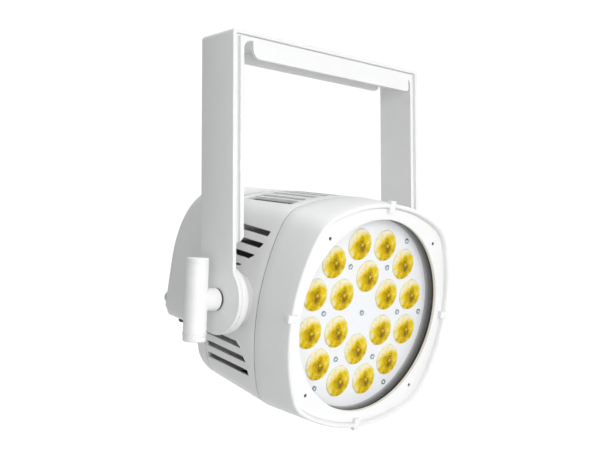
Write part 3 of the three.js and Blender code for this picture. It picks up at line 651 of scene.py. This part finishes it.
def yoke_strap():
    """Bent strap: the U seen from the front crossed with the arm outline seen from the side."""
    half, bend = YOKE_HALF, STRAP_BEND
    inner_bend = 1.5
    foot = -ARM_END_RADIUS - 5
    front = ([(half, foot)] + arc((half - bend, YOKE_HEIGHT - bend), bend, 0, 90)
             + arc((bend - half, YOKE_HEIGHT - bend), bend, 90, 180) + [(-half, foot)])
    inner, under = half - STRAP_THICKNESS, YOKE_HEIGHT - STRAP_THICKNESS
    front += ([(-inner, foot)]
              + arc((inner_bend - inner, under - inner_bend), inner_bend, 180, 90, 4)
              + arc((inner - inner_bend, under - inner_bend), inner_bend, 90, 0, 4)
              + [(inner, foot)])
    spread = STRAP_HALF_DEPTH + ARM_END_FILLET
    reach = ARM_END_RADIUS + ARM_END_FILLET
    height = math.sqrt(reach * reach - spread * spread)
    meet = math.degrees(math.atan2(height, spread))
    side = ([(STRAP_HALF_DEPTH, YOKE_HEIGHT + 5), (-STRAP_HALF_DEPTH, YOKE_HEIGHT + 5)]
            + arc((-spread, height), ARM_END_FILLET, 0, -meet, 8)
            + arc((0, 0), ARM_END_RADIUS, 180 - meet, 360 + meet, 56)[1:-1]
            + arc((spread, height), ARM_END_FILLET, 180 + meet, 180, 8))
    strap = prism("yoke_strap_plate", front, -60, 60, "y", paint)
    combine(strap, prism("outline", side, -150, 150, "x", paint), "INTERSECT")
    cut(strap, prism("stud_hole", circle((0, 0), STUD_HOLE), -150, 150, "x", paint))
    cut(strap, clamp_hole_tool())
    soften(strap, 0.7)
    return place(strap, FROM_PIVOT, "yoke", ["yoke_strap"])


def stiffener_outline(outer, top):
    inner = STIFFENER_INNER
    under = YOKE_HEIGHT - UNDERSIDE
    inner_foot = STIFFENER_FOOT + YOKE_HALF - STRAP_THICKNESS - inner
    outer_foot = inner_foot - (outer - inner)
    corner = 9.0
    return ([(outer, outer_foot), (outer, top), (-outer, top), (-outer, outer_foot)]
            + [(-inner, inner_foot)] + arc((corner - inner, under - corner), corner, 180, 90)
            + arc((inner - corner, under - corner), corner, 90, 0) + [(inner, inner_foot)])


def hanging_tab(left, right, bottom, left_radius, right_radius):
    top = YOKE_HEIGHT - UNDERSIDE + 3
    return ([(left, top)]
            + arc((left + left_radius, bottom + left_radius), left_radius, 180, 270)
            + arc((right - right_radius, bottom + right_radius), right_radius, 270, 360)
            + [(right, top)])


def yoke_stiffener():
    outer = YOKE_HALF - STRAP_THICKNESS - FIT_GAP
    top = YOKE_HEIGHT - STRAP_THICKNESS - FIT_GAP
    back, front = STIFFENER_HALF_DEPTH, -STRAP_HALF_DEPTH
    plate = stiffener_outline(outer, top)
    stiffener = prism("yoke_stiffener_plate", plate, -back, back, "y", paint)
    bead = stiffener_outline(STIFFENER_INNER + BEAD, YOKE_HEIGHT - UNDERSIDE + 3.2)
    join(stiffener, prism("bead", bead, front, 1 - back, "y", paint))
    tab = hanging_tab(left=-112, right=120.5, bottom=233.5, left_radius=10, right_radius=4)
    join(stiffener, prism("front_tab", tab, front, front + 3.5, "y", paint))
    tab = hanging_tab(left=-117.5, right=117.5, bottom=239.5, left_radius=7, right_radius=7)
    join(stiffener, prism("rear_tab", tab, back - 3, back, "y", paint))
    cut(stiffener, clamp_hole_tool())
    soften(stiffener, 0.6)
    return place(stiffener, FROM_PIVOT, "yoke", ["yoke_stiffener"])


yoke_strap()
yoke_stiffener()

for side_name, side in SIDES:
    disc = turned(f"friction_pad_{side_name}", stepped_ring(
        STUD_HOLE, ARM_END_RADIUS - 0.2, DISC_INSIDE, DISC_OUTSIDE, 0.9, side),
        [grip_plastic], 96, "x")
    place(disc, FROM_PIVOT, "yoke", [f"friction_disc_{side_name}"])


# ---- lock handles

def t_bar_profile():
    """Bar with soft ends and three fine grip grooves near each end."""
    end, rim, depth = HANDLE_LENGTH / 2, HANDLE_RADIUS, 0.35
    half = [(0, end), (rim - 2.0, end), (rim - 0.9, end - 0.25), (rim - 0.2, end - 0.9),
            (rim, end - 1.8)]
    for k in range(3):
        groove = end - 3.2 - 2.0 * k
        half += [(rim, groove + depth), (rim - depth, groove), (rim, groove - depth)]
    return half + [(r, -z) for r, z in reversed(half)]


def lock_handle(side_name, side):
    """T-bar with its stem. It is drawn on the right and turned over for the left."""
    bar = turned(f"lock_grip_{side_name}", t_bar_profile(), [grip_plastic], 64, "z")
    near = YOKE_HALF + 1.4 - HANDLE_OFFSET
    rim = HANDLE_RADIUS - 0.2
    stem = turned("stem", [(0, near), (rim - 0.8, near), (rim, near + 0.8), (rim, 0), (0, 0)],
                  [grip_plastic], 64, "x")
    join(bar, stem)
    bore = rod("bore", STUD_BORE, near - 5, near + 11, "x", segments=32, material=grip_plastic)
    cut(bar, bore)
    bar.data.transform(Matrix.Translation((HANDLE_OFFSET, 0, 0)))
    if side < 0:
        bar.data.transform(Matrix.Rotation(math.pi, 4, "Z"))
    bar.data.transform(Matrix.Rotation(HANDLE_LEAN, 4, "X"))
    return place(bar, FROM_PIVOT, f"lock_{side_name}", [f"lock_handle_{side_name}"])


for side_name, side in SIDES:
    lock_handle(side_name, side)
    washer = turned(f"handle_washer_ring_{side_name}", stepped_ring(
        STUD_HOLE, HANDLE_RADIUS - 0.3, YOKE_HALF + 0.1, YOKE_HALF + 1.2, 0.3, side),
        [dark_ring_finish], 64, "x")
    place(washer, FROM_PIVOT, f"lock_{side_name}", [f"handle_washer_{side_name}"])


# ---- head: front shell and bezel

def tab_outlines(clearance):
    """The bezel's four tabs, seen from the front, grown by a clearance."""
    w = TAB_HALF_WIDTH + clearance
    near, far = TAB_REACH
    far += 50 * clearance
    corners = (((near, -w), (far, w)), ((-far, -w), (-near, w)),
               ((-w, near), (w, far)), ((-w, -far), (w, -near)))
    return [rounded_box(low, high, 0.8, 3) for low, high in corners]


def front_shell():
    """Deep front ring whose rim stands proud of the bezel."""
    seam, recess = SEAM + SEAM_GAP, BEZEL_BACK - FIT_GAP
    seat, stop = GLASS_RADIUS + 0.8, 69.8
    sections = (  # depth, half width, radius of the bowed sides, radius of the corners
        (seam, 112.6, HEAD_BOW, 34.5),
        (seam + 0.25, 113.2, HEAD_BOW, 35),
        (seam + 0.9, 113.5, HEAD_BOW, 35),
        (45, 113.75, 212, 36),
        (58, 113.9, 200, 37),
        (70, 113.85, 189, 37.6),
        (RIM_FRONT - 2.2, 113.7, 180, 38),
        (RIM_FRONT - 1.1, 113.4, 179.5, 38),
        (RIM_FRONT - 0.35, 112.75, 179, 37.6),
        (RIM_FRONT, 111.8, 178, 37),
        (RIM_FRONT, 111.0, 175, 37.6),
        (RIM_FRONT - 0.5, 110.2, 172, 38.2),
        (RIM_FRONT - 1.8, 109.5, 169, 38.6),
        (BEZEL_FRONT + 0.9, 109.0, 167, 38.9),
        (BEZEL_FRONT - 0.1, BEZEL_HALF + 0.12, BEZEL_BOW, BEZEL_CORNER),
        (recess, BEZEL_HALF + 0.12, BEZEL_BOW, BEZEL_CORNER),
    )
    rings = [square_ring(*section) for section in sections]
    rings += [round_ring(recess, seat), round_ring(stop, seat), round_ring(stop, 101),
              round_ring(67, 101), square_ring(64, 111, 200, 36),
              square_ring(seam, 110.5, corner=32)]
    # The inside behind the baffle and the face at the seam are in near-black painted shade.
    shell = loft("front_shell_casting", rings, [paint, painted_shade_black], inner=(18, 21))
    slots = [prism("slot", outline, -100, FIT_GAP + 0.7 - BEZEL_FRONT, "y", paint)
             for outline in tab_outlines(0.12)]
    cut(shell, merge("slots", slots))
    return on_head(shell, ["front_shell"], sharp=38.0)


def front_bezel():
    """Flat plate between the rim and the round opening, with screw holes and tabs."""
    front = BEZEL_FRONT
    outer = ((BEZEL_BACK, 0), (front - 0.2, 0), (front - 0.06, 0.06), (front, 0.2))
    inner = ((front, 0.7), (front - 0.2, 0.2), (front - 0.7, 0), (BEZEL_BACK, 0))
    rings = [square_ring(depth, BEZEL_HALF - edge, BEZEL_BOW, BEZEL_CORNER)
             for depth, edge in outer]
    rings += [round_ring(depth, OPENING_RADIUS + edge) for depth, edge in inner]
    bezel = loft("front_bezel_plate", rings, [paint])
    for outline in tab_outlines(0):
        tab = prism("tab", outline, -TAB_FRONT, 1 - front, "y", paint)
        join(bezel, soften(tab, 0.35, angle=50, segments=2))
    # The holes' walls are in near-black painted shade.
    holes = [rod("hole", BEZEL_SCREW_RADIUS + 0.1, -90, -70, "y",
                 (x * BEZEL_SCREW, z * BEZEL_SCREW), 24, painted_shade_black) for x in BOTH for z in BOTH]
    cut(bezel, merge("holes", holes))
    return on_head(bezel, ["front_bezel"], sharp=38.0)


def bezel_screw(x, z, front=77.2, height=2.0):
    """Pan head with a hexagonal socket."""
    radius = BEZEL_SCREW_RADIUS
    profile = ((0, height), (radius, height), (radius, 0.5 * height), (radius * 0.9, 0.12 * height),
               (radius * 0.72, 0), (0, 0))
    head = turned("screw", [(r, y - front) for r, y in profile], [dark_steel], 32, "y", (x, z))
    # The hex socket is in near-black painted shade.
    socket = prism("socket", circle((x, z), 0.8, 6), -front - 1, 0.6 * height - front, "y",
                   painted_shade_black)
    return cut(head, socket)


front_shell()
front_bezel()

screws = [bezel_screw(x * BEZEL_SCREW, z * BEZEL_SCREW) for x in BOTH for z in BOTH]
on_head(merge("bezel_screws", screws))

gasket = turned("gasket_ring", stepped_ring(
    OPENING_RADIUS - 0.3, GLASS_RADIUS, BEZEL_BACK - 1.0, BEZEL_BACK - 0.1, 0.2, -1),
    [gasket_rubber], 128)
on_head(gasket, ["bezel_gasket"])

pane_edge, pane_bevel = OPENING_RADIUS - 0.2, 0.5
pane = turned("front_glass_disc", [
    (0, -GLASS_BACK), (pane_edge - pane_bevel, -GLASS_BACK), (pane_edge, -GLASS_BACK - pane_bevel),
    (pane_edge, pane_bevel - GLASS_FRONT), (pane_edge - pane_bevel, -GLASS_FRONT),
    (0, -GLASS_FRONT)], [front_pane], 128)
on_head(pane, ["front_glass"])


def baffle_ring():
    """Tube behind the glass. Fine steps are turned into its wall, in painted shade: light grey near
    the lens plate, whose bounce would light it, darker towards the front.
    """
    inner, back, front = OPENING_RADIUS, BAFFLE_BACK, BAFFLE_FRONT
    shades = (0, 0, 0, 1, 2, 3, 4, 5)
    wall, bands = [], []
    for k, shade in enumerate(shades):
        start, end = (back + (front - back) * step / len(shades) for step in (k, k + 1))
        wall += [(inner + 0.5, -start - 0.1), (inner, -start - 0.4), (inner, -end + 0.1)]
        bands += [shade, shade, shade]
    profile = wall + [(BAFFLE_RADIUS, -front), (BAFFLE_RADIUS, -back), wall[0]]
    return turned("baffle_tube", profile, baffle_painted_shades, 128, bands=bands + [shade, shade])


on_head(baffle_ring(), ["baffle_ring"])


# ---- head: vented housing and rear frame

def slot_front(z):
    """Where a side slot starts: the field of slots keeps a round front edge clear of the pivot."""
    centre, height, radius = 29, 80, 52
    drop = height - abs(z)
    return centre - math.sqrt(radius * radius - drop * drop)


def slot_tools():
    tools, r = [], 1.2

    def cut_both_walls(outline, axis):
        for wall in BOTH:
            tools.append(prism("slot", outline, *sorted((wall * 80, wall * 130)), axis, paint))

    for row in range(4):
        for up in BOTH:
            z = up * (2.5 + row) * SLOT_PITCH
            low, high = z - SLOT_HALF, z + SLOT_HALF
            start_low, start_high = slot_front(low), slot_front(high)
            cut_both_walls([
                (SLOT_REAR, low), (SLOT_REAR, high), (start_high + r, high),
                (start_high + 0.25 * r, high - 0.3 * r), (start_high, high - r),
                (start_low, low + r), (start_low + 0.25 * r, low + 0.3 * r),
                (start_low + r, low)], "x")
    near, far = TOP_END_SLOT
    spans = [(column * TOP_SLOT_PITCH - TOP_SLOT_HALF, column * TOP_SLOT_PITCH + TOP_SLOT_HALF)
             for column in range(-4, 5)]
    for low, high in [*spans, (near, far), (-far, -near)]:
        cut_both_walls(rounded_box((low, TOP_SLOT_FRONT), (high, SLOT_REAR), r, 3), "z")
    return merge("slots", tools)


def vented_housing():
    """Thin wall that narrows towards the back, with slots on all four sides."""
    front, rear = SEAM - SEAM_GAP, SEAM_GAP - HOUSING_REAR
    front_half, taper = 113.3, 4.1

    def ring(depth, grow=0.0, corner=HEAD_CORNER):
        back = (front - depth) / (front + HOUSING_REAR)
        return square_ring(depth, front_half - taper * back + grow, HEAD_BOW, corner,
                           1 - (1 - REAR_HEIGHT) * back)

    rings = [ring(front, -0.8, 34.5), ring(front - 0.25, -0.25)]
    rings += [ring(depth) for depth in (front - 0.9, 20, 8, -4, -16, -28, -40, rear + 0.9)]
    rings += [ring(rear + 0.25, -0.2), ring(rear, -0.7, 34.5), ring(rear, -WALL, 32),
              ring(front, -WALL, 32)]
    # The inside and the front and rear edge faces at the seams are in near-black painted shade.
    housing = loft("vented_housing_casting", rings, [paint, painted_shade_black], inner=(11, 13))
    cut(housing, rod("hub_hole", HUB_RADIUS + FIT_GAP, -140, 140, "x"))
    cut(housing, slot_tools())
    return on_head(housing, ["vented_housing"], sharp=38.0)


def cable_tool(y):
    """Cutter for the opening that the cables pass through."""
    outline = rounded_box((-CABLE_HALF, CABLE_BOTTOM), (CABLE_HALF, CABLE_TOP), 4)
    return prism("cables", outline, y - 8, y + 8, "y", paint)


def rear_frame():
    """Dish with a rounded rear edge that closes the housing, open where the cables pass."""
    front = -HOUSING_REAR - SEAM_GAP
    inside = [square_ring(WALL - FRAME_REAR, 102.7, corner=32, height=0.952),
              square_ring(front, 106.1, corner=32, height=REAR_HEIGHT),
              square_ring(front, 108.3, corner=34.5, height=REAR_HEIGHT)]
    outside = (  # depth, half width, height as a share of the width
        (front - 0.25, 108.85, REAR_HEIGHT),
        (front - 0.9, 109.0, REAR_HEIGHT),
        (-60, 108.6, 0.970),
        (-63.5, 108.2, 0.966),
        (-66.5, 107.6, 0.962),
        (-68.5, 106.9, 0.959),
        (-70, 105.9, 0.956),
        (-71, 104.7, 0.954),
        (-FRAME_REAR, 103.2, 0.952),
    )
    rings = inside + [square_ring(depth, half, height=height) for depth, half, height in outside]
    # The inside and the front edge face at the seam are in near-black painted shade.
    dish = loft("rear_frame_casting", rings, [paint, painted_shade_black], closed=False, inner=(0, 1))
    cut(dish, cable_tool(FRAME_REAR))
    return on_head(dish, ["rear_frame"], sharp=38.0)


def pivot_hub(side_name, side):
    """Hub with a low flared foot on the housing wall and a neck behind the friction disc."""
    neck, foot, flange = HUB_RADIUS - 5.5, HUB_RADIUS, HUB_RADIUS + 4.5
    near, far = 102.5, DISC_INSIDE - FIT_GAP
    profile = [(STUD_BORE, near), (flange, near), (flange, 105.6), (foot, 105.6), (foot, 112.3),
               (foot - 1.2, 112.8), (foot - 3, 113.5), (neck + 0.8, 114.8), (neck, 117),
               (neck, far - 0.7), (neck - 0.7, far), (STUD_BORE, far), (STUD_BORE, near)]
    hub = turned(f"pivot_boss_{side_name}", [(r, side * a) for r, a in profile], [paint], 96, "x")
    return on_head(hub, [f"pivot_hub_{side_name}"])


vented_housing()
rear_frame()
for side_name, side in SIDES:
    pivot_hub(side_name, side)


# ---- head: lens plate and lenses

def lens_centres():
    for count, radius, first in LENS_RINGS:
        for i in range(count):
            angle = math.radians(first - i * 360 / count)
            yield radius * math.cos(angle), radius * math.sin(angle)


def lens_plate():
    plate = rod("lens_plate_disc", OPENING_RADIUS - FIT_GAP, -PLATE_FRONT,
                PLATE_THICKNESS - PLATE_FRONT, segments=128, material=plate_paint)
    holes = [rod("hole", LENS_RADIUS + 0.25, -70, -50, "y", centre, material=plate_paint)
             for centre in lens_centres()]
    cut(plate, merge("holes", holes))
    return on_head(plate, ["lens_plate"])


def lens_mesh():
    """One collimator about its own axis, y = 0 at the plate's face: cone, ribbed dome, emitter."""
    r = LENS_RADIUS
    ridges = []
    for radius, height in ((14.2, -1.35), (12.3, -1.95), (10.2, -2.45)):
        ridges += [(radius + 0.75, height + 0.28), (radius + 0.2, height - 0.12),
                   (radius - 0.2, height - 0.12), (radius - 0.6, height + 0.06)]
    cone = [(0, 12), (8.6, 12), (r - 0.7, 2.2), (r, 1.6), (r, -0.5), (r - 0.35, -0.85)]
    dome = [(8.4, -2.75), (6.0, -3.05), (3.0, -3.3), (0, -3.35)]
    body = turned("optic", cone + ridges + dome, [optic_painted_view], 64)
    base = -2.6
    frame = turned("frame", [(0, base), (2.9, base), (2.9, -3.42), (2.5, -3.5), (0, -3.5)],
                   [emitter_frame], 32)
    emitter = turned("emitter", [(0, base), (2.0, base), (2.0, -3.55), (1.6, -3.8), (0.9, -3.98),
                                 (0, -4.05)], [emitter_yellow], 32)
    return merge("lens_optic", [body, frame, emitter])


def lenses():
    """Eighteen copies of one mesh, each turned a little so that its streaks lie differently."""
    pattern = lens_mesh()
    pattern.data.shade_smooth()
    pattern.data.set_sharp_from_angle(angle=math.radians(50))
    for number, (x, z) in enumerate(lens_centres(), start=1):
        lens = new_object(f"lens_optic_{number:02d}", pattern.data)
        turn = Matrix.Rotation(math.radians(37 * number % 31 - 15), 4, "Y")
        lens.matrix_world = FROM_HEAD @ Matrix.Translation((x, -PLATE_FRONT, z)) @ turn
        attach(lens, "head")
        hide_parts(f"lens_{number:02d}")
    bpy.data.objects.remove(pattern)


def plate_screws():
    """Ring of six, one in the middle and six near the edge."""
    spots = [(0, 0)] + [(PLATE_SCREW_RADIUS, 60 * k) for k in range(6)]
    spots += [(radius, degrees) for radius, angles in EDGE_SCREWS for degrees in angles]
    heads = []
    for radius, degrees in spots:
        angle = math.radians(degrees)
        heads += plate_screw(radius * math.cos(angle), radius * math.sin(angle))
    return on_head(merge("lens_plate_screws", heads))


def plate_screw(x, z):
    """Grey pan head whose wide shallow recess is bright."""
    face = -PLATE_FRONT
    profile = ((0, 0.35), (1.35, 0.35), (1.6, 1.35), (2.1, 1.5), (2.6, 1.1), (2.85, 0.4), (2.85, 0),
               (0, 0))
    recess = ((0, 0.3), (1.4, 0.3), (1.4, 0.45), (0, 0.5))
    return [turned(name, [(r, face - rise) for r, rise in shape], [material], segments, "y", (x, z))
            for name, shape, material, segments in (("screw", profile, screw_steel, 32),
                                                    ("recess", recess, plate_paint, 24))]


lens_plate()
lenses()
plate_screws()


# ---- head: rear cover

def cover_outline(inset, front, curve_steps=24):
    """Side outline of the rear cover as (y, z), smaller by an inset, from a front plane back."""
    rear, top, bottom, foot = COVER_REAR - inset, COVER_TOP - inset, COVER_BOTTOM + inset, 7
    start, first = Vector((rear, 8)), Vector((rear, 56 - inset))
    second, end = Vector((130 - inset, top - 3)), Vector((COVER_CREST, top))

    def curve(t):
        return (start * (1 - t) ** 3 + first * 3 * t * (1 - t) ** 2
                + second * 3 * t * t * (1 - t) + end * t ** 3)

    low, high = 0.5, 1.0
    for _ in range(40):
        middle = (low + high) / 2
        low, high = (middle, high) if curve(middle).x > front else (low, middle)
    arch = [curve(low * i / curve_steps) for i in range(curve_steps + 1)]
    return ([(front, bottom), (rear - foot, bottom), (rear, bottom + foot)]
            + [(p.x, p.y) for p in arch])


def cover_block(name, inset, material, edge_steps=9):
    half, edge = COVER_HALF - inset, COVER_EDGE - inset
    left = []
    for i in range(edge_steps + 1):
        angle = math.pi / 2 * i / edge_steps
        left.append((edge * (1 - math.cos(angle)) - half, inset + edge * (1 - math.sin(angle))))
    sections = left + [(-x, shrink) for x, shrink in reversed(left)]
    rings = [[(x, y, z) for y, z in cover_outline(shrink, COVER_FRONT + inset)]
             for x, shrink in sections]
    return loft(name, rings, [material], closed=False)


def rear_cover():
    """Hollow hood, open where the cables pass, behind the panel and above each connector."""
    cover = cover_block("rear_cover_casting", 0, paint)
    # The hollow's walls are in near-black painted shade.
    cut(cover, cover_block("hollow", WALL, painted_shade_black))
    ledge = 3
    window = rounded_box((ledge - PANEL_HALF, PANEL_BOTTOM + ledge),
                         (PANEL_HALF - ledge, PANEL_TOP - ledge), 2)
    cuts = [prism("opening", window, COVER_REAR - 8, COVER_REAR + 8, "y", paint),
            cable_tool(COVER_FRONT)]
    cuts += [prism("socket", circle((x, CONNECTOR_Y), 12.1), COVER_BOTTOM - 5, COVER_BOTTOM + 8,
                   "z", paint) for x in CONNECTOR_X]
    cut(cover, merge("cuts", cuts))
    return on_head(cover, ["rear_cover"], sharp=38.0)


def control_panel():
    """Panel plate with a display window and button holes."""
    back, clear = COVER_REAR + FIT_GAP, 0.4
    outline = rounded_box((-PANEL_HALF, PANEL_BOTTOM), (PANEL_HALF, PANEL_TOP), 3)
    plate = prism("control_panel_plate", outline, back, back + 2, "y", panel_plastic)
    outline = rounded_box((-WINDOW_HALF, WINDOW_BOTTOM), (WINDOW_HALF, WINDOW_TOP), 1.5)
    holes = [prism("window", outline, back - 5, back + 5, "y", panel_plastic)]
    holes += [prism("hole", circle((x, BUTTON_Z), 4.4), back - 5, back + 5, "y", panel_plastic)
              for x in BUTTON_X]
    cut(plate, merge("holes", holes))
    soften(plate, 0.4, angle=50, segments=2)
    on_head(plate, ["control_panel"])
    outline = rounded_box((clear - WINDOW_HALF, WINDOW_BOTTOM + clear),
                          (WINDOW_HALF - clear, WINDOW_TOP - clear), 1.2)
    pane = prism("display_pane", outline, COVER_REAR - 1.9, COVER_REAR + 1.9, "y", display_pane)
    soften(pane, 0.3, angle=50, segments=2)
    on_head(pane, ["display_window"])
    corners = [panel_screw(x, z) for x in PANEL_SCREW_X for z in PANEL_SCREW_Z]
    on_head(merge("panel_screws", corners))


def panel_screw(x, z):
    face = COVER_REAR + 2.3
    profile = ((0, 0), (2.4, 0), (2.2, 0.6), (1.3, 1.1), (0, 1.2))
    head = turned("screw", [(r, face + rise) for r, rise in profile], [dark_steel], 32, "y", (x, z))
    socket = prism("socket", circle((x, z), 0.9, 6), face + 0.4, face + 3, "y", dark_steel)
    return cut(head, socket)


def push_buttons():
    """Cap with a flange that keeps it behind the panel and a slightly hollow top."""
    profile = ((0, -4), (4.1, -4), (4.1, -1.6), (5.2, -1.6), (5.2, 0), (4.1, 0), (4.1, 3.6),
               (3.8, 4.1), (3.0, 4.35), (0, 4.1))
    for number, x in enumerate(BUTTON_X, start=1):
        cap = turned(f"button_cap_{number}", [(r, COVER_REAR + rise) for r, rise in profile],
                     [button_plastic], 40, "y", (x, BUTTON_Z))
        place(cap, FROM_HEAD, f"menu_button_{number}", [f"button_{number}"])


def connector(name, node, x, pins):
    """Panel connector that points down: flange, ribbed barrel, collar, insert with contacts."""
    y, face = CONNECTOR_Y, COVER_BOTTOM - FIT_GAP
    outline = rounded_box((x - 13, y - 15.5), (x + 13, y + 15.5), 2.5)
    flange = prism(name, outline, face - 3, face, "z", black_plastic)
    soften(flange, 0.5, angle=50, segments=2)
    barrel = [(9.2, face - 3), (9.2, face - 16.6), (9.6, face - 17), (12.1, face - 17),
              (12.6, face - 16.5), (12.6, face - 12.4), (12.2, face - 12), (11.5, face - 12)]
    for k in range(4):
        rib = face - 10.8 + 2 * k
        barrel += [(11.5, rib - 0.3), (11.9, rib), (11.9, rib + 0.6), (11.5, rib + 0.9)]
    barrel += [(11.7, face - 2.9), (11.7, COVER_BOTTOM + 9), (0, COVER_BOTTOM + 9)]
    body = turned("barrel", [(0, face - 3)] + barrel, [black_plastic], 48, "z", (x, y))
    join(flange, body)
    root, contacts = face - 2.9, []
    for k in range(pins):
        angle = math.radians(90 + 360 * k / pins)
        centre = (x + CONTACT_CIRCLE * math.cos(angle), y + CONTACT_CIRCLE * math.sin(angle))
        contacts.append(turned("pin", [(0, face - 13.4), (0.7, face - 13.2), (1, face - 12.6),
                                       (1, root), (0, root)], [brass], 16, "z", centre))
    for u in (-FLANGE_SCREW_X, FLANGE_SCREW_X):
        for v in (-FLANGE_SCREW_Y, FLANGE_SCREW_Y):
            contacts.append(turned("screw", [(0, face - 4.2), (1.3, face - 4.1), (2.1, face - 3.5),
                                             (2.1, root), (0, root)], [dark_steel], 20, "z",
                                   (x + u, y + v)))
    return on_head(merge(name, [flange, *contacts]), [node])


def rear_foot(side_name, side):
    profile = ((0, 0.3), (7, 0.3), (7, 7.2), (6.7, 8.4), (6, 9.2), (5, 9.5), (0, 9.5))
    foot = turned(f"rear_foot_pad_{side_name}", [(r, COVER_REAR + rise) for r, rise in profile],
                  [foot_rubber], 40, "y", (side * FOOT_X, FOOT_Z))
    return on_head(foot, [f"rear_foot_{side_name}"])


rear_cover()
control_panel()
push_buttons()
SOCKETS = (("power_in_socket", "power_inlet", 3), ("power_out_socket", "power_outlet", 3),
           ("data_in_socket", "data_inlet", 5), ("data_out_socket", "data_outlet", 5))
for (name, node, pins), x in zip(SOCKETS, CONNECTOR_X):
    connector(name, node, x, pins)
for side_name, side in SIDES:
    rear_foot(side_name, side)


# ---- carried CAD nodes

# The heat sink takes the near-black painted shade for the shade inside the housing, in place of
# bare aluminium.
CARRIED = {"lock_stud_left": steel, "lock_stud_right": steel, "led_board": green_board,
           "heat_sink": painted_shade_black, "fan_frame": black_plastic, "fan_rotor": black_plastic,
           "control_board": green_board, "power_supply": aluminium}
for node, material in CARRIED.items():
    carried = frame["nodes"][node].data
    carried.materials.clear()
    carried.materials.append(material)
    carried.shade_smooth()
    carried.set_sharp_from_angle(angle=math.radians(30))


# ---- studio: floor, light and camera

def floor():
    """Wide pale floor well below the hanging light."""
    size, height = 14.0, PIVOT.z - FLOOR_DROP
    nodes = Nodes("pale_floor")
    nodes.set(Base_Color=(0.9, 0.9, 0.9, 1.0), Roughness=0.9, Emission_Color=(1, 1, 1, 1))
    nodes.set(Emission_Strength=0.75)
    corners = [(x * size, y * size, height) for x, y in ((-1, -1), (1, -1), (1, 1), (-1, 1))]
    piece = mesh_object("studio_floor", corners, [(0, 1, 2, 3)], [nodes.material])
    piece.visible_diffuse = False


def area_light(name, offset, size, power):
    """Softbox at an offset from the tilt axis, aimed at it."""
    light = bpy.data.lights.new(name, "AREA")
    light.shape = "RECTANGLE"
    light.size, light.size_y = size
    light.energy = power
    lamp = new_object(name, light)
    lamp.location = PIVOT + Vector(offset)
    lamp.rotation_mode = "QUATERNION"
    lamp.rotation_quaternion = (-Vector(offset)).to_track_quat("-Z", "Y")


def studio_world():
    """Soft grey room for the light, plain white behind the object."""
    world = bpy.data.worlds.new("studio")
    world.use_nodes = True
    tree = world.node_tree
    room = tree.nodes["Background"]
    room.inputs["Color"].default_value = (0.97, 0.985, 1.0, 1.0)
    room.inputs["Strength"].default_value = ROOM_STRENGTH
    white = tree.nodes.new("ShaderNodeBackground")
    white.inputs["Color"].default_value = (1, 1, 1, 1)
    white.inputs["Strength"].default_value = SEEN_STRENGTH
    seen = tree.nodes.new("ShaderNodeLightPath")
    mix = tree.nodes.new("ShaderNodeMixShader")
    tree.links.new(seen.outputs["Is Camera Ray"], mix.inputs[0])
    tree.links.new(room.outputs[0], mix.inputs[1])
    tree.links.new(white.outputs[0], mix.inputs[2])
    tree.links.new(mix.outputs[0], tree.nodes["World Output"].inputs["Surface"])
    bpy.context.scene.world = world


def camera():
    """Camera in front and to the left, level with the tilt axis and looking slightly up."""
    data = bpy.data.cameras.new("camera")
    data.lens, data.sensor_width = FOCAL_LENGTH, 36.0
    data.clip_start, data.clip_end = 0.05, 60.0
    cam = new_object("camera", data)
    azimuth, elevation = math.radians(CAMERA_AZIMUTH), math.radians(CAMERA_ELEVATION)
    roll = math.radians(CAMERA_ROLL)
    cam.location = PIVOT + Vector(CAMERA_OFFSET)
    forward = Vector((-math.sin(azimuth) * math.cos(elevation),
                      math.cos(azimuth) * math.cos(elevation), -math.sin(elevation)))
    cam.rotation_mode = "QUATERNION"
    level = forward.to_track_quat("-Z", "Y")
    cam.rotation_quaternion = level @ Matrix.Rotation(roll, 3, "Z").to_quaternion()
    bpy.context.scene.camera = cam


floor()
studio_world()
for softbox in SOFTBOXES:
    area_light(*softbox)
camera()
bpy.context.scene.view_settings.view_transform = "Standard"
